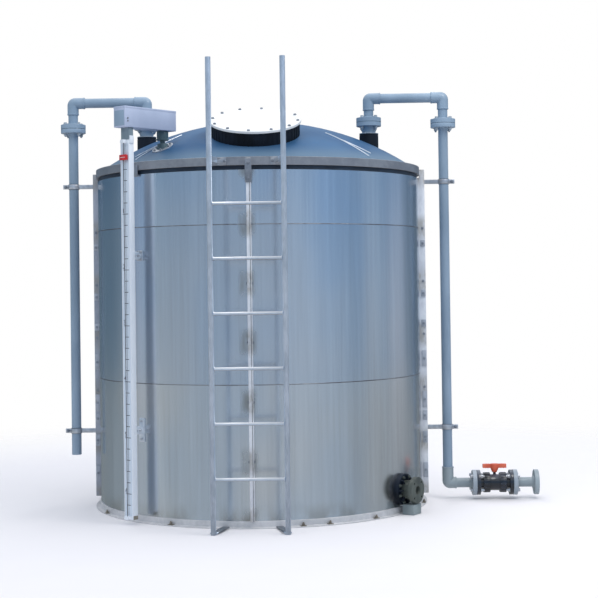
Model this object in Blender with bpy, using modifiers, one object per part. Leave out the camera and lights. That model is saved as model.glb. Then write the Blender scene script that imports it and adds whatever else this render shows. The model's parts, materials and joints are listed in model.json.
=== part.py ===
# Chemical storage tank: bolted stainless shell, domed roof, manhole, ladder,
# level gauge, vent pipe, filling pipe with its ball valve, and a drain nozzle.
# Metres, +Z up, origin under the middle of the floor plate. The ladder is
# towards -Y, the valve towards +X, and an azimuth is counted from -Y to +X.

import math

import bmesh
import bpy
from mathutils import Matrix, Vector

# Fits between pieces
SEAT_GAP = 0.0003
BALL_CLEARANCE = 0.0015
STEM_CLEARANCE = 0.0004
WIRE_CLEARANCE = 0.0003
POINTER_CLEARANCE = 0.005

# Facets round the tank, the fittings and the pipes
TANK_STEPS = 64
NECK_STEPS = 36
FITTING_STEPS = 24
PIPE_RESOLUTION = 6

# Shell
SHELL_RADIUS = 1.000
SHELL_WALL = 0.004
SHELL_TOP = 2.000
LOWER_COURSE = 0.796
UPPER_COURSE = 0.306
PANEL_JOINT = 0.002
FLOOR_THICKNESS = 0.006

# Base ring, gasket and top rim
RING_LEG = 0.006
RING_HEIGHT = 0.040
RING_REACH = 0.030
GASKET_HEIGHT = 0.0227
GASKET_WIDTH = 0.036
GASKET_RECESS = 0.004
RIM_STAND_OUT = 0.010
RIM_HEIGHT = 0.047
RIM_LEG = 0.006
RIM_SEAT_WIDTH = 0.056

# Upright joint strips
STRIP_WIDTH = 0.025
STRIP_DEPTH = 0.043
STRIP_LUG_RISE = 0.0387

# Roof
ROOF_SKIRT = 0.0174
ROOF_SPHERE = 1.720
ROOF_WALL = 0.005
ROOF_RINGS = 8

# Manhole, on the front slope of the roof
MANHOLE_INSET = 0.375
MANHOLE_AZIMUTH = 1.9
NECK_RADIUS = 0.258
NECK_WALL = 0.008
NECK_RISE = 0.056
NECK_DROP = 0.050
LID_OVERHANG = 0.010
LID_THICKNESS = 0.015

# Ladder
LADDER_STAND_OFF = 0.205
RAIL_SPACING = 0.406
RAIL_RADIUS = 0.015
RAIL_RISE = 0.600
RUNG_PITCH = 0.300
RUNG_COUNT = 6
RUNG_RADIUS = 0.009
STAY_WIDTH = 0.040
STAY_THICKNESS = 0.006
STAY_RISE = 0.030
STAY_FACET = 1.5
STAY_RING_GAP = 0.010
STAY_PLATE_WIDTH = 0.050
STAY_PLATE_HEIGHT = 0.046

# Level gauge
GAUGE_AZIMUTH = -40.0
BOARD_STAND_OFF = 0.074
BOARD_DEPTH = 0.036
BOARD_WIDTH = 0.071
BOARD_BOTTOM = 0.030
WIRE_RADIUS = 0.002
WIRE_BLOCK_HEIGHT = 0.020
WIRE_BLOCK_WIDTH = 0.030
BLOCK_EDGE = 0.010
POINTER_WIDTH = 0.056
POINTER_HEIGHT = 0.030
POINTER_DEPTH = 0.014
POINTER_REST = 0.090
BOX_OVERHANG = 0.040
BOX_INNER_END = 0.066
BOX_WIDTH = 0.095
BOX_HEIGHT = 0.118
BOX_CLEARANCE = 0.097
LEG_WIDTH = 0.066
LEG_HEIGHT = 0.070
FLOAT_PIPE_INSET = 0.184
FLOAT_PIPE_RADIUS = 0.015
FLOAT_HEAD_RADIUS = 0.034
FLOAT_HEAD_LENGTH = 0.055
FLOAT_FITTING_RADIUS = 0.031
FLOAT_FITTING_RISE = 0.023
FLOAT_FITTING_DROP = 0.054
BRACKET_DROP = 0.470
BRACKET_LIFT = 0.530
BRACKET_PLATE_HEIGHTS = {"upper": 0.060, "lower": 0.136}
BRACKET_PLATE_WIDTH = 0.042
BRACKET_PLATE = 0.006
BRACKET_ARM_WIDTH = 0.020
BRACKET_ARM_HEIGHT = 0.045

# Pipework
PIPE_RADIUS = 0.030
PIPE_WALL = 0.0045
PIPE_BORE = PIPE_RADIUS - PIPE_WALL
FLANGE_RADIUS = 0.0775
FLANGE_THICKNESS = 0.027
HUB_RADIUS = PIPE_RADIUS + 0.008
HUB_LENGTH = 0.010
SOCKET_RADIUS = PIPE_RADIUS + 0.006
SOCKET_LENGTH = 0.028
SOCKET_STEP = 0.0008
BEND_RADIUS = 0.046
BEND_STEPS = 4
PIPE_STAND_OFF = 0.165
CROSSOVER_RISE = 0.148
DOWNPIPE_DROP = 0.015
VENT_PIPE_END = 0.300
CLAMP_DROP = 0.015
CLAMP_LIFT = 0.450
CLAMP_BAND = 0.005
CLAMP_HEIGHT = 0.030
CLAMP_ARM = 0.012
CLAMP_EAR = 0.032

# Roof nozzles
NOZZLE_INSET = 0.300
COLLAR_RADIUS = 0.0595
COLLAR_RISE = 0.071
COLLAR_DROP = 0.101
CONE_TOP_RADIUS = 0.052
CONE_BOTTOM_RADIUS = 0.040
CONE_HEIGHT = 0.038
CONE_HEAD = 0.008

# Inlet line with its ball valve
INLET_HEIGHT = 0.100
ELBOW_RISE = 0.099
ELBOW_REACH = 0.1775
VALVE_LENGTH = 0.225
VALVE_FLANGE = 0.022
VALVE_NECK_RADIUS = 0.040
VALVE_NECK = 0.019
NUT_RADIUS = 0.0595
NUT_WIDTH = 0.042
VALVE_BODY_RADIUS = 0.050
BALL_RADIUS = PIPE_BORE + 0.010
BALL_STEPS = 18
STEM_RADIUS = 0.009
STEM_RISE = 0.064
HANDLE_LENGTH = 0.147
HANDLE_WIDTH = 0.022
HANDLE_RISE = 0.090
HANDLE_THICKNESS = 0.025
HANDLE_FOOT_RADIUS = 0.015
HANDLE_HEAD_RADIUS = 0.026
SPOOL_LENGTH = 0.1584

# Drain nozzle
DRAIN_AZIMUTH = 58.0
DRAIN_PAD_RADIUS = 0.0925
DRAIN_CLEARANCE = 0.0085
DRAIN_HEIGHT = RING_HEIGHT + DRAIN_CLEARANCE + DRAIN_PAD_RADIUS
DRAIN_PAD_REACH = 0.030
DRAIN_NECK_RADIUS = 0.056
DRAIN_STAND_OFF = 0.112

STEEL = ("stainless", (0.52, 0.60, 0.68, 1.0), 0.25, 1.0)
RIM_STEEL = ("rim_steel", (0.42, 0.42, 0.42, 1.0), 0.40, 1.0)
BASE_STEEL = ("base_steel", (0.66, 0.67, 0.68, 1.0), 0.40, 0.8)
ROOF_BLUE = ("roof_sheet", (0.15, 0.25, 0.37, 1.0), 0.30, 0.3)
RUBBER = ("black_rubber", (0.02, 0.02, 0.04, 1.0), 0.70, 0.0)
BLACK_RESIN = ("black_resin", (0.03, 0.03, 0.04, 1.0), 0.45, 0.0)
LID_WHITE = ("white_resin", (0.85, 0.86, 0.86, 1.0), 0.40, 0.0)
LADDER_STEEL = ("ladder_steel", (0.62, 0.64, 0.70, 1.0), 0.35, 0.9)
GAUGE_GREY = ("gauge_grey", (0.50, 0.53, 0.62, 1.0), 0.45, 0.1)
BOARD_WHITE = ("board_white", (0.80, 0.85, 0.90, 1.0), 0.40, 0.0)
POINTER_RED = ("pointer_red", (0.75, 0.05, 0.05, 1.0), 0.40, 0.0)
PIPE_GREY = ("pipe_resin", (0.27, 0.34, 0.40, 1.0), 0.35, 0.0)
VALVE_GREY = ("valve_resin", (0.08, 0.10, 0.13, 1.0), 0.40, 0.0)
HANDLE_RED = ("handle_resin", (0.80, 0.16, 0.06, 1.0), 0.40, 0.0)
BRIGHT_STEEL = ("bright_steel", (0.70, 0.72, 0.74, 1.0), 0.25, 1.0)


def start_scene():
    for item in list(bpy.data.objects):
        bpy.data.objects.remove(item)
    parts = bpy.data.collections.new("chemical_storage_tank")
    cutters = bpy.data.collections.new("cutters")
    for collection in (parts, cutters):
        bpy.context.scene.collection.children.link(collection)
    return parts, cutters


PARTS, CUTTERS = start_scene()


def finish(finish_values):
    name, colour, roughness, metallic = finish_values
    material = bpy.data.materials.get(name)
    if material is None:
        material = bpy.data.materials.new(name)
        material.use_nodes = True
        shader = material.node_tree.nodes["Principled BSDF"]
        shader.inputs["Base Color"].default_value = colour
        shader.inputs["Roughness"].default_value = roughness
        shader.inputs["Metallic"].default_value = metallic
        material.diffuse_color = colour
    return material


def add_object(name, mesh, look=None):
    piece = bpy.data.objects.new(name, mesh)
    if look is None:
        CUTTERS.objects.link(piece)
        piece.hide_render = True
        piece.display_type = "WIRE"
    else:
        PARTS.objects.link(piece)
        mesh.materials.append(finish(look))
        mesh.shade_smooth()
        mesh.set_sharp_from_angle(angle=math.radians(35.0))
    return piece


def mesh_from(name, bm):
    bmesh.ops.recalc_face_normals(bm, faces=bm.faces)
    mesh = bpy.data.meshes.new(name)
    bm.to_mesh(mesh)
    bm.free()
    return mesh


def at_azimuth(degrees):
    # Turns a shape modelled along +X so that it points to an azimuth
    return Matrix.Rotation(math.radians(degrees - 90.0), 4, "Z")


def turned(name, outline, look=None, steps=FITTING_STEPS, place=None, ring=True):
    # Outline as (radius, height) pairs, running down the outer side
    mesh = bpy.data.meshes.new(name)
    points = [(radius, 0.0, height) for radius, height in outline]
    edges = [(index, index + 1) for index in range(len(points) - 1)]
    if ring:
        edges.append((len(points) - 1, 0))
    mesh.from_pydata(points, edges, [])
    piece = add_object(name, mesh, look)
    screw = piece.modifiers.new("Turn", "SCREW")
    screw.steps = steps
    screw.render_steps = steps
    screw.use_merge_vertices = True
    screw.merge_threshold = 0.00001
    screw.use_smooth_shade = True
    if place is not None:
        piece.matrix_world = place
    return piece


def segment(name, outline, start, end, steps, look):
    # A length of ring between two azimuths, from an outline of (radius, height)
    bm = bmesh.new()
    turn = at_azimuth(start)
    corners = [bm.verts.new(turn @ Vector((radius, 0.0, height))) for radius, height in outline]
    face = bm.faces.new(corners)
    bmesh.ops.spin(
        bm, geom=[face], axis=(0.0, 0.0, 1.0), cent=(0.0, 0.0, 0.0),
        angle=math.radians(end - start), steps=steps, use_duplicate=False,
    )
    return add_object(name, mesh_from(name, bm), look)


def prism(name, outline, depth, look=None, place=None):
    # An outline in the XZ plane, given thickness along Y about the plane
    bm = bmesh.new()
    corners = [bm.verts.new((x, -depth / 2.0, z)) for x, z in outline]
    face = bm.faces.new(corners)
    grown = bmesh.ops.extrude_face_region(bm, geom=[face])
    moved = [item for item in grown["geom"] if isinstance(item, bmesh.types.BMVert)]
    bmesh.ops.translate(bm, verts=moved, vec=(0.0, depth, 0.0))
    piece = add_object(name, mesh_from(name, bm), look)
    if place is not None:
        piece.matrix_world = place
    return piece


def blocks(name, boxes, look=None):
    # Boxes given as (size, centre, turn about Z in radians)
    bm = bmesh.new()
    for size, centre, turn in boxes:
        matrix = Matrix.Translation(centre) @ Matrix.Rotation(turn, 4, "Z") @ Matrix.Diagonal((*size, 1.0))
        bmesh.ops.create_cube(bm, size=1.0, matrix=matrix)
    return add_object(name, mesh_from(name, bm), look)


def rods(name, ends, radius, look=None, steps=16):
    # Round bars between pairs of points
    bm = bmesh.new()
    for start, end in ends:
        start = Vector(start)
        run = Vector(end) - start
        turn = run.to_track_quat("Z", "Y").to_matrix().to_4x4()
        matrix = Matrix.Translation(start + run / 2.0) @ turn
        bmesh.ops.create_cone(
            bm, cap_ends=True, segments=steps, radius1=radius, radius2=radius, depth=run.length, matrix=matrix
        )
    return add_object(name, mesh_from(name, bm), look)


def combine(piece, other, operation):
    modifier = piece.modifiers.new(operation.title(), "BOOLEAN")
    modifier.operation = operation
    modifier.solver = "EXACT"
    modifier.object = other


def rounded_path(corners, sockets=True):
    # Points along a pipe with round bends, each with its radius factor, which
    # is larger where an elbow's sockets take the pipe
    socket = SOCKET_RADIUS / PIPE_RADIUS if sockets else 1.0
    path = [(Vector(corners[0]), 1.0)]
    for index in range(1, len(corners) - 1):
        corner = Vector(corners[index])
        inward = (corner - Vector(corners[index - 1])).normalized()
        outward = (Vector(corners[index + 1]) - corner).normalized()
        start = corner - inward * BEND_RADIUS
        end = corner + outward * BEND_RADIUS
        centre = start + outward * BEND_RADIUS
        if sockets:
            path.append((start - inward * (SOCKET_LENGTH + SOCKET_STEP), 1.0))
            path.append((start - inward * SOCKET_LENGTH, socket))
        for count in range(BEND_STEPS + 1):
            angle = math.radians(90.0) * count / BEND_STEPS
            point = centre + (inward * math.sin(angle) - outward * math.cos(angle)) * BEND_RADIUS
            path.append((point, socket))
        if sockets:
            path.append((end + outward * SOCKET_LENGTH, socket))
            path.append((end + outward * (SOCKET_LENGTH + SOCKET_STEP), 1.0))
    path.append((Vector(corners[-1]), 1.0))
    return path


def swept(name, path, radius, look=None):
    curve = bpy.data.curves.new(name, "CURVE")
    curve.dimensions = "3D"
    curve.bevel_depth = radius
    curve.bevel_resolution = PIPE_RESOLUTION
    curve.use_fill_caps = True
    spline = curve.splines.new("POLY")
    spline.points.add(len(path) - 1)
    for point, (place, factor) in zip(spline.points, path):
        point.co = (*place, 1.0)
        point.radius = factor
    guide = bpy.data.objects.new(name + "_guide", curve)
    CUTTERS.objects.link(guide)
    depsgraph = bpy.context.evaluated_depsgraph_get()
    mesh = bpy.data.meshes.new_from_object(guide.evaluated_get(depsgraph))
    bm = bmesh.new()
    bm.from_mesh(mesh)
    bmesh.ops.remove_doubles(bm, verts=bm.verts, dist=0.00001)
    bpy.data.objects.remove(guide)
    return add_object(name, mesh_from(name, bm), look)


def facet_reach(radius, steps=TANK_STEPS):
    # Distance from the axis to the middle of a facet
    return radius * math.cos(math.pi / steps)


def rim_bottom():
    return SHELL_TOP + GASKET_HEIGHT + 2.0 * SEAT_GAP


def roof_seat():
    # Radius and height of the roof's foot inside the top rim
    radius = SHELL_RADIUS + RIM_STAND_OUT - RIM_LEG - 2.0 * SEAT_GAP
    return radius, rim_bottom() + RIM_LEG + SEAT_GAP


def roof_height(radius, inset=0.0):
    edge, seat = roof_seat()
    centre = seat + ROOF_SKIRT - math.sqrt(ROOF_SPHERE ** 2 - edge ** 2)
    return centre + math.sqrt((ROOF_SPHERE - inset) ** 2 - radius ** 2)


def nozzle_joint():
    # Where the flange of each roof nozzle meets the pipe above it
    cone = COLLAR_RISE + CONE_HEIGHT + CONE_HEAD + FLANGE_THICKNESS + SEAT_GAP
    return SHELL_RADIUS - NOZZLE_INSET, roof_height(SHELL_RADIUS - NOZZLE_INSET) + cone


def floor_and_base():
    floor_radius = SHELL_RADIUS - SHELL_WALL - SEAT_GAP
    outline = [(0.0, FLOOR_THICKNESS), (floor_radius, FLOOR_THICKNESS), (floor_radius, 0.0), (0.0, 0.0)]
    turned("tank_floor", outline, STEEL, TANK_STEPS, ring=False)

    inner = SHELL_RADIUS + SEAT_GAP
    outer = inner + RING_LEG
    foot = SHELL_RADIUS + RING_REACH
    outline = [
        (inner, RING_HEIGHT), (outer, RING_HEIGHT), (outer, RING_LEG),
        (foot, RING_LEG), (foot, 0.0), (inner, 0.0),
    ]
    turned("base_ring", outline, BASE_STEEL, TANK_STEPS)


def shell_panels():
    seam = SHELL_TOP - UPPER_COURSE
    courses = {
        "lower": (0.0, LOWER_COURSE),
        "middle": (LOWER_COURSE + SEAT_GAP, seam),
        "upper": (seam + SEAT_GAP, SHELL_TOP),
    }
    quarters = {"front_left": -90.0, "front_right": 0.0, "back_right": 90.0, "back_left": 180.0}
    steps = TANK_STEPS // 4
    inner = SHELL_RADIUS - SHELL_WALL
    trim = math.degrees(PANEL_JOINT / 2.0 / SHELL_RADIUS)
    panels = {}
    for course, (low, high) in courses.items():
        outline = [(inner, high), (SHELL_RADIUS, high), (SHELL_RADIUS, low), (inner, low)]
        for quarter, start in quarters.items():
            name = "shell_" + course + "_" + quarter
            panel = segment(name, outline, start, start + 90.0, steps, STEEL)
            for edge, side in ((start, 1.0), (start + 90.0, -1.0)):
                trim_panel_edge(panel, edge, side * trim)
            panels[name] = panel
    return panels


def trim_panel_edge(panel, edge, trim):
    # Turns a panel's end corners in by half of the joint between panels
    turn = Matrix.Rotation(math.radians(trim), 3, "Z")
    direction = at_azimuth(edge) @ Vector((1.0, 0.0, 0.0))
    for corner in panel.data.vertices:
        flat = Vector((corner.co.x, corner.co.y, 0.0)).normalized()
        if (flat - direction).length < 0.001:
            corner.co = turn @ corner.co


def gasket_and_rim():
    low = SHELL_TOP + SEAT_GAP
    high = low + GASKET_HEIGHT
    outer = SHELL_RADIUS - GASKET_RECESS
    inner = outer - GASKET_WIDTH
    outline = [(inner, high), (outer, high), (outer, low), (inner, low)]
    turned("rim_gasket", outline, RUBBER, TANK_STEPS)

    low = rim_bottom()
    top = low + RIM_HEIGHT
    outer = SHELL_RADIUS + RIM_STAND_OUT
    inner = outer - RIM_LEG
    seat = outer - RIM_SEAT_WIDTH
    outline = [
        (inner, top), (outer, top), (outer, low), (seat, low), (seat, low + RIM_LEG), (inner, low + RIM_LEG),
    ]
    turned("top_rim", outline, RIM_STEEL, TANK_STEPS)


def joint_strips():
    inner = SHELL_RADIUS + SEAT_GAP
    outer = SHELL_RADIUS + STRIP_DEPTH
    lug = SHELL_RADIUS + RIM_STAND_OUT + SEAT_GAP
    low = RING_HEIGHT + SEAT_GAP
    step = SHELL_TOP + GASKET_HEIGHT / 2.0
    top = rim_bottom() + STRIP_LUG_RISE
    outline = [(inner, low), (outer, low), (outer, top), (lug, top), (lug, step), (inner, step)]
    for side, azimuth in {"front": 0.0, "right": 90.0, "back": 180.0, "left": -90.0}.items():
        prism("joint_strip_" + side, outline, STRIP_WIDTH, STEEL, at_azimuth(azimuth))


def roof():
    edge, seat = roof_seat()
    radii = [edge * count / ROOF_RINGS for count in range(ROOF_RINGS + 1)]
    outer = [(radius, roof_height(radius)) for radius in radii]
    inner_edge = edge - ROOF_WALL
    inner = [
        (inner_edge * count / ROOF_RINGS, roof_height(inner_edge * count / ROOF_RINGS, ROOF_WALL))
        for count in range(ROOF_RINGS, -1, -1)
    ]
    outline = outer + [(edge, seat), (inner_edge, seat)] + inner
    return turned("roof", outline, ROOF_BLUE, TANK_STEPS, ring=False)


def hole(name, radius, low, high, steps, place):
    outline = [(0.0, high), (radius, high), (radius, low), (0.0, low)]
    return turned(name, outline, None, steps, place, ring=False)


def manhole(roof_piece):
    offset = SHELL_RADIUS - MANHOLE_INSET
    tilt = math.asin(offset / ROOF_SPHERE)
    place = Matrix.Rotation(math.radians(MANHOLE_AZIMUTH), 4, "Z")
    place = place @ Matrix.Translation((0.0, -offset, roof_height(offset))) @ Matrix.Rotation(tilt, 4, "X")
    inner = NECK_RADIUS - NECK_WALL
    outline = [(inner, NECK_RISE), (NECK_RADIUS, NECK_RISE), (NECK_RADIUS, -NECK_DROP), (inner, -NECK_DROP)]
    turned("manhole_neck", outline, BLACK_RESIN, NECK_STEPS, place)

    low = NECK_RISE + SEAT_GAP
    high = low + LID_THICKNESS
    radius = NECK_RADIUS + LID_OVERHANG
    outline = [(0.0, high), (radius, high), (radius, low), (0.0, low)]
    turned("manhole_lid", outline, LID_WHITE, NECK_STEPS, place, ring=False)

    cutter = hole("manhole_hole", NECK_RADIUS + SEAT_GAP, -2.0 * NECK_DROP, NECK_DROP, NECK_STEPS, place)
    combine(roof_piece, cutter, "DIFFERENCE")


def ladder():
    half = RAIL_SPACING / 2.0
    front = -SHELL_RADIUS - LADDER_STAND_OFF
    top = SHELL_TOP + RAIL_RISE
    rails = [((side * half, front, 0.0), (side * half, front, top)) for side in (-1.0, 1.0)]
    piece = rods("ladder", rails, RAIL_RADIUS, LADDER_STEEL)

    rungs = []
    for count in range(RUNG_COUNT):
        height = RUNG_PITCH * (count + 1)
        rungs.append(((-half, front, height), (half, front, height)))
    combine(piece, rods("ladder_rungs", rungs, RUNG_RADIUS, steps=12), "UNION")

    # Stays run inwards from each rail, to the base ring and to the top rim
    angle = math.radians(360.0 / TANK_STEPS * STAY_FACET)
    ring = SHELL_RADIUS + RING_LEG + STAY_RING_GAP
    rim = facet_reach(SHELL_RADIUS + RIM_STAND_OUT) + SEAT_GAP + STAY_THICKNESS / 2.0
    foot_height = RING_LEG + SEAT_GAP + STAY_THICKNESS / 2.0
    rim_height = rim_bottom() + RIM_HEIGHT / 2.0
    stays = []
    plates = []
    for side in (-1.0, 1.0):
        outward = Vector((side * math.sin(angle), -math.cos(angle), 0.0))
        rail = Vector((side * half, front, 0.0))
        for reach, height, width, depth in (
            (ring, foot_height, STAY_WIDTH, STAY_THICKNESS),
            (rim, rim_height, STAY_THICKNESS, STAY_RISE),
        ):
            start = outward * reach
            run = rail - start
            centre = (rail + start) / 2.0 + Vector((0.0, 0.0, height))
            stays.append(((run.length, width, depth), centre, math.atan2(run.y, run.x)))
        size = (STAY_THICKNESS, STAY_PLATE_WIDTH, STAY_PLATE_HEIGHT)
        centre = outward * rim + Vector((0.0, 0.0, rim_height))
        plates.append((size, centre, math.atan2(outward.y, outward.x)))
    combine(piece, blocks("ladder_stays", stays), "UNION")
    combine(piece, blocks("ladder_plates", plates), "UNION")


def gauge(roof_piece):
    place = at_azimuth(GAUGE_AZIMUTH)
    back = SHELL_RADIUS + BOARD_STAND_OFF
    face = back + BOARD_DEPTH
    float_offset = SHELL_RADIUS - FLOAT_PIPE_INSET
    roof_line = roof_height(float_offset)
    box_low = roof_line + BOX_CLEARANCE
    board_top = box_low - LEG_HEIGHT
    wire_offset = face + POINTER_CLEARANCE + POINTER_DEPTH / 2.0
    block_reach = wire_offset + WIRE_RADIUS + BLOCK_EDGE
    block_low = BOARD_BOTTOM + WIRE_BLOCK_HEIGHT
    block_high = board_top - WIRE_BLOCK_HEIGHT

    # The board with the leg that carries the housing
    outline = [(back, BOARD_BOTTOM), (face, BOARD_BOTTOM), (face, board_top), (back, board_top)]
    board = prism("gauge_board", outline, BOARD_WIDTH, BOARD_WHITE, place)
    block_root = face - BLOCK_EDGE
    ends = []
    for low, high in ((BOARD_BOTTOM, block_low), (block_high, board_top)):
        ends.append([(block_root, low), (block_reach, low), (block_reach, high), (block_root, high)])
    for count, outline in enumerate(ends):
        combine(board, prism("wire_block_" + str(count), outline, WIRE_BLOCK_WIDTH, None, place), "UNION")

    leg_low = board_top + SEAT_GAP
    leg_high = box_low - SEAT_GAP
    outline = [(back, leg_low), (face, leg_low), (face, leg_high), (back, leg_high)]
    prism("gauge_leg", outline, LEG_WIDTH, GAUGE_GREY, place)
    near = float_offset - BOX_INNER_END
    far = face + BOX_OVERHANG
    high = box_low + BOX_HEIGHT
    outline = [(near, box_low), (far, box_low), (far, high), (near, high)]
    prism("gauge_box", outline, BOX_WIDTH, GAUGE_GREY, place)

    # The guide wire and the pointer that slides on it
    wire_place = place @ Matrix.Translation((wire_offset, 0.0, 0.0))
    low = block_low + SEAT_GAP
    high = block_high - SEAT_GAP
    outline = [(0.0, high), (WIRE_RADIUS, high), (WIRE_RADIUS, low), (0.0, low)]
    turned("guide_wire", outline, BRIGHT_STEEL, 12, wire_place, ring=False)
    rest = SHELL_TOP + POINTER_REST
    low = rest - POINTER_HEIGHT / 2.0
    high = rest + POINTER_HEIGHT / 2.0
    near = wire_offset - POINTER_DEPTH / 2.0
    far = wire_offset + POINTER_DEPTH / 2.0
    outline = [(near, low), (far, low), (far, high), (near, high)]
    pointer = prism("level_pointer", outline, POINTER_WIDTH, POINTER_RED, place)
    low = rest - POINTER_HEIGHT
    high = rest + POINTER_HEIGHT
    cutter = hole("pointer_hole", WIRE_RADIUS + WIRE_CLEARANCE, low, high, 12, wire_place)
    combine(pointer, cutter, "DIFFERENCE")

    # The float's guide pipe, from the roof up to the housing
    pipe_place = place @ Matrix.Translation((float_offset, 0.0, 0.0))
    top = box_low - SEAT_GAP
    head = top - FLOAT_HEAD_LENGTH
    fitting_top = roof_line + FLOAT_FITTING_RISE
    fitting_low = roof_line - FLOAT_FITTING_DROP
    outline = [
        (0.0, top), (FLOAT_HEAD_RADIUS, top), (FLOAT_HEAD_RADIUS, head), (FLOAT_PIPE_RADIUS, head),
        (FLOAT_PIPE_RADIUS, fitting_top), (FLOAT_FITTING_RADIUS, fitting_top),
        (FLOAT_FITTING_RADIUS, fitting_low), (0.0, fitting_low),
    ]
    turned("float_pipe", outline, GAUGE_GREY, FITTING_STEPS, pipe_place, ring=False)
    low = fitting_low - FLOAT_FITTING_RADIUS
    high = fitting_top + FLOAT_FITTING_RADIUS
    cutter = hole("float_hole", FLOAT_FITTING_RADIUS + SEAT_GAP, low, high, FITTING_STEPS, pipe_place)
    combine(roof_piece, cutter, "DIFFERENCE")

    # Brackets from the shell to the back of the board
    foot = SHELL_RADIUS + SEAT_GAP
    arm_end = back - SEAT_GAP
    for level, height in {"upper": SHELL_TOP - BRACKET_DROP, "lower": BRACKET_LIFT}.items():
        low = height - BRACKET_PLATE_HEIGHTS[level] / 2.0
        high = height + BRACKET_PLATE_HEIGHTS[level] / 2.0
        plate_face = foot + BRACKET_PLATE
        outline = [(foot, low), (plate_face, low), (plate_face, high), (foot, high)]
        bracket = prism("gauge_bracket_" + level, outline, BRACKET_PLATE_WIDTH, BRIGHT_STEEL, place)
        low = height - BRACKET_ARM_HEIGHT / 2.0
        high = height + BRACKET_ARM_HEIGHT / 2.0
        inner = foot + BRACKET_PLATE / 2.0
        outline = [(inner, low), (arm_end, low), (arm_end, high), (inner, high)]
        arm = prism("bracket_arm_" + level, outline, BRACKET_ARM_WIDTH, None, place)
        combine(bracket, arm, "UNION")


def roof_nozzles(roof_piece):
    offset, joint = nozzle_joint()
    top = joint - SEAT_GAP
    neck = top - FLANGE_THICKNESS
    cone_top = neck - CONE_HEAD
    collar_top = cone_top - CONE_HEIGHT
    collar_low = roof_height(offset) - COLLAR_DROP
    outline = [
        (PIPE_BORE, top), (FLANGE_RADIUS, top), (FLANGE_RADIUS, neck), (CONE_TOP_RADIUS, neck),
        (CONE_TOP_RADIUS, cone_top), (CONE_BOTTOM_RADIUS, collar_top), (COLLAR_RADIUS, collar_top),
        (COLLAR_RADIUS, collar_low), (PIPE_BORE, collar_low),
    ]
    for side, azimuth in {"left": -90.0, "right": 90.0}.items():
        place = at_azimuth(azimuth) @ Matrix.Translation((offset, 0.0, 0.0))
        turned("roof_nozzle_" + side, outline, BLACK_RESIN, FITTING_STEPS, place)
        low = collar_low - COLLAR_RADIUS
        cutter = hole("nozzle_hole_" + side, COLLAR_RADIUS + SEAT_GAP, low, collar_top, FITTING_STEPS, place)
        combine(roof_piece, cutter, "DIFFERENCE")


def flange_disc(name, centre, axis):
    # A flange with its hub; axis runs along the pipe towards the joint face.
    # A quarter of a facet keeps its facets off the corners of the pipe's.
    turn = Vector(axis).to_track_quat("Z", "Y").to_matrix().to_4x4()
    quarter = Matrix.Rotation(math.pi / FITTING_STEPS / 2.0, 4, "Z")
    place = Matrix.Translation(centre) @ turn @ quarter
    back = -FLANGE_THICKNESS
    hub = back - HUB_LENGTH
    outline = [
        (0.0, 0.0), (FLANGE_RADIUS, 0.0), (FLANGE_RADIUS, back),
        (HUB_RADIUS, back), (HUB_RADIUS, hub), (0.0, hub),
    ]
    return turned(name, outline, None, FITTING_STEPS, place, ring=False)


def bent_pipe(name, corners):
    # An elbow with a plain end first and a flange at its last corner
    corners = [Vector(corner) for corner in corners]
    outer = [point.copy() for point in corners]
    bore = [point.copy() for point in corners]
    bore[0] += (corners[0] - corners[1]).normalized() * FLANGE_THICKNESS
    axis = (corners[-1] - corners[-2]).normalized()
    bore[-1] += axis * FLANGE_THICKNESS
    outer[-1] -= axis * (FLANGE_THICKNESS / 2.0)
    piece = swept(name, rounded_path(outer), PIPE_RADIUS, PIPE_GREY)
    combine(piece, flange_disc(name + "_flange", corners[-1], axis), "UNION")
    combine(piece, swept(name + "_bore", rounded_path(bore, sockets=False), PIPE_BORE), "DIFFERENCE")


def straight_pipe(name, low, high, place):
    # A hollow pipe with a flange at its upper end
    flange = high - FLANGE_THICKNESS
    hub = flange - HUB_LENGTH
    outline = [
        (PIPE_BORE, high), (FLANGE_RADIUS, high), (FLANGE_RADIUS, flange), (HUB_RADIUS, flange),
        (HUB_RADIUS, hub), (PIPE_RADIUS, hub), (PIPE_RADIUS, low), (PIPE_BORE, low),
    ]
    return turned(name, outline, PIPE_GREY, FITTING_STEPS, place)


def pipework():
    # Each crossover ends at the socket of the bend that turns it down
    pipe = SHELL_RADIUS + PIPE_STAND_OFF
    nozzle, joint = nozzle_joint()
    height = joint + CROSSOVER_RISE
    downpipe_joint = joint - DOWNPIPE_DROP
    mouth = pipe - BEND_RADIUS - SOCKET_LENGTH - 2.0 * SOCKET_STEP
    elbow_top = INLET_HEIGHT + ELBOW_RISE
    foot = {"vent": VENT_PIPE_END, "fill": elbow_top + SEAT_GAP}
    for name, side in {"vent": -1.0, "fill": 1.0}.items():
        end = side * (mouth - SEAT_GAP)
        corners = [(end, 0.0, height), (side * nozzle, 0.0, height), (side * nozzle, 0.0, joint)]
        bent_pipe(name + "_crossover", corners)
        corners = [
            (side * mouth, 0.0, height), (side * pipe, 0.0, height), (side * pipe, 0.0, downpipe_joint),
        ]
        bent_pipe(name + "_bend", corners)
        place = Matrix.Translation((side * pipe, 0.0, 0.0))
        straight_pipe(name + "_downpipe", foot[name], downpipe_joint - SEAT_GAP, place)

    flange_face = pipe + ELBOW_REACH
    corners = [(pipe, 0.0, elbow_top), (pipe, 0.0, INLET_HEIGHT), (flange_face, 0.0, INLET_HEIGHT)]
    bent_pipe("fill_elbow", corners)
    return flange_face


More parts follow.
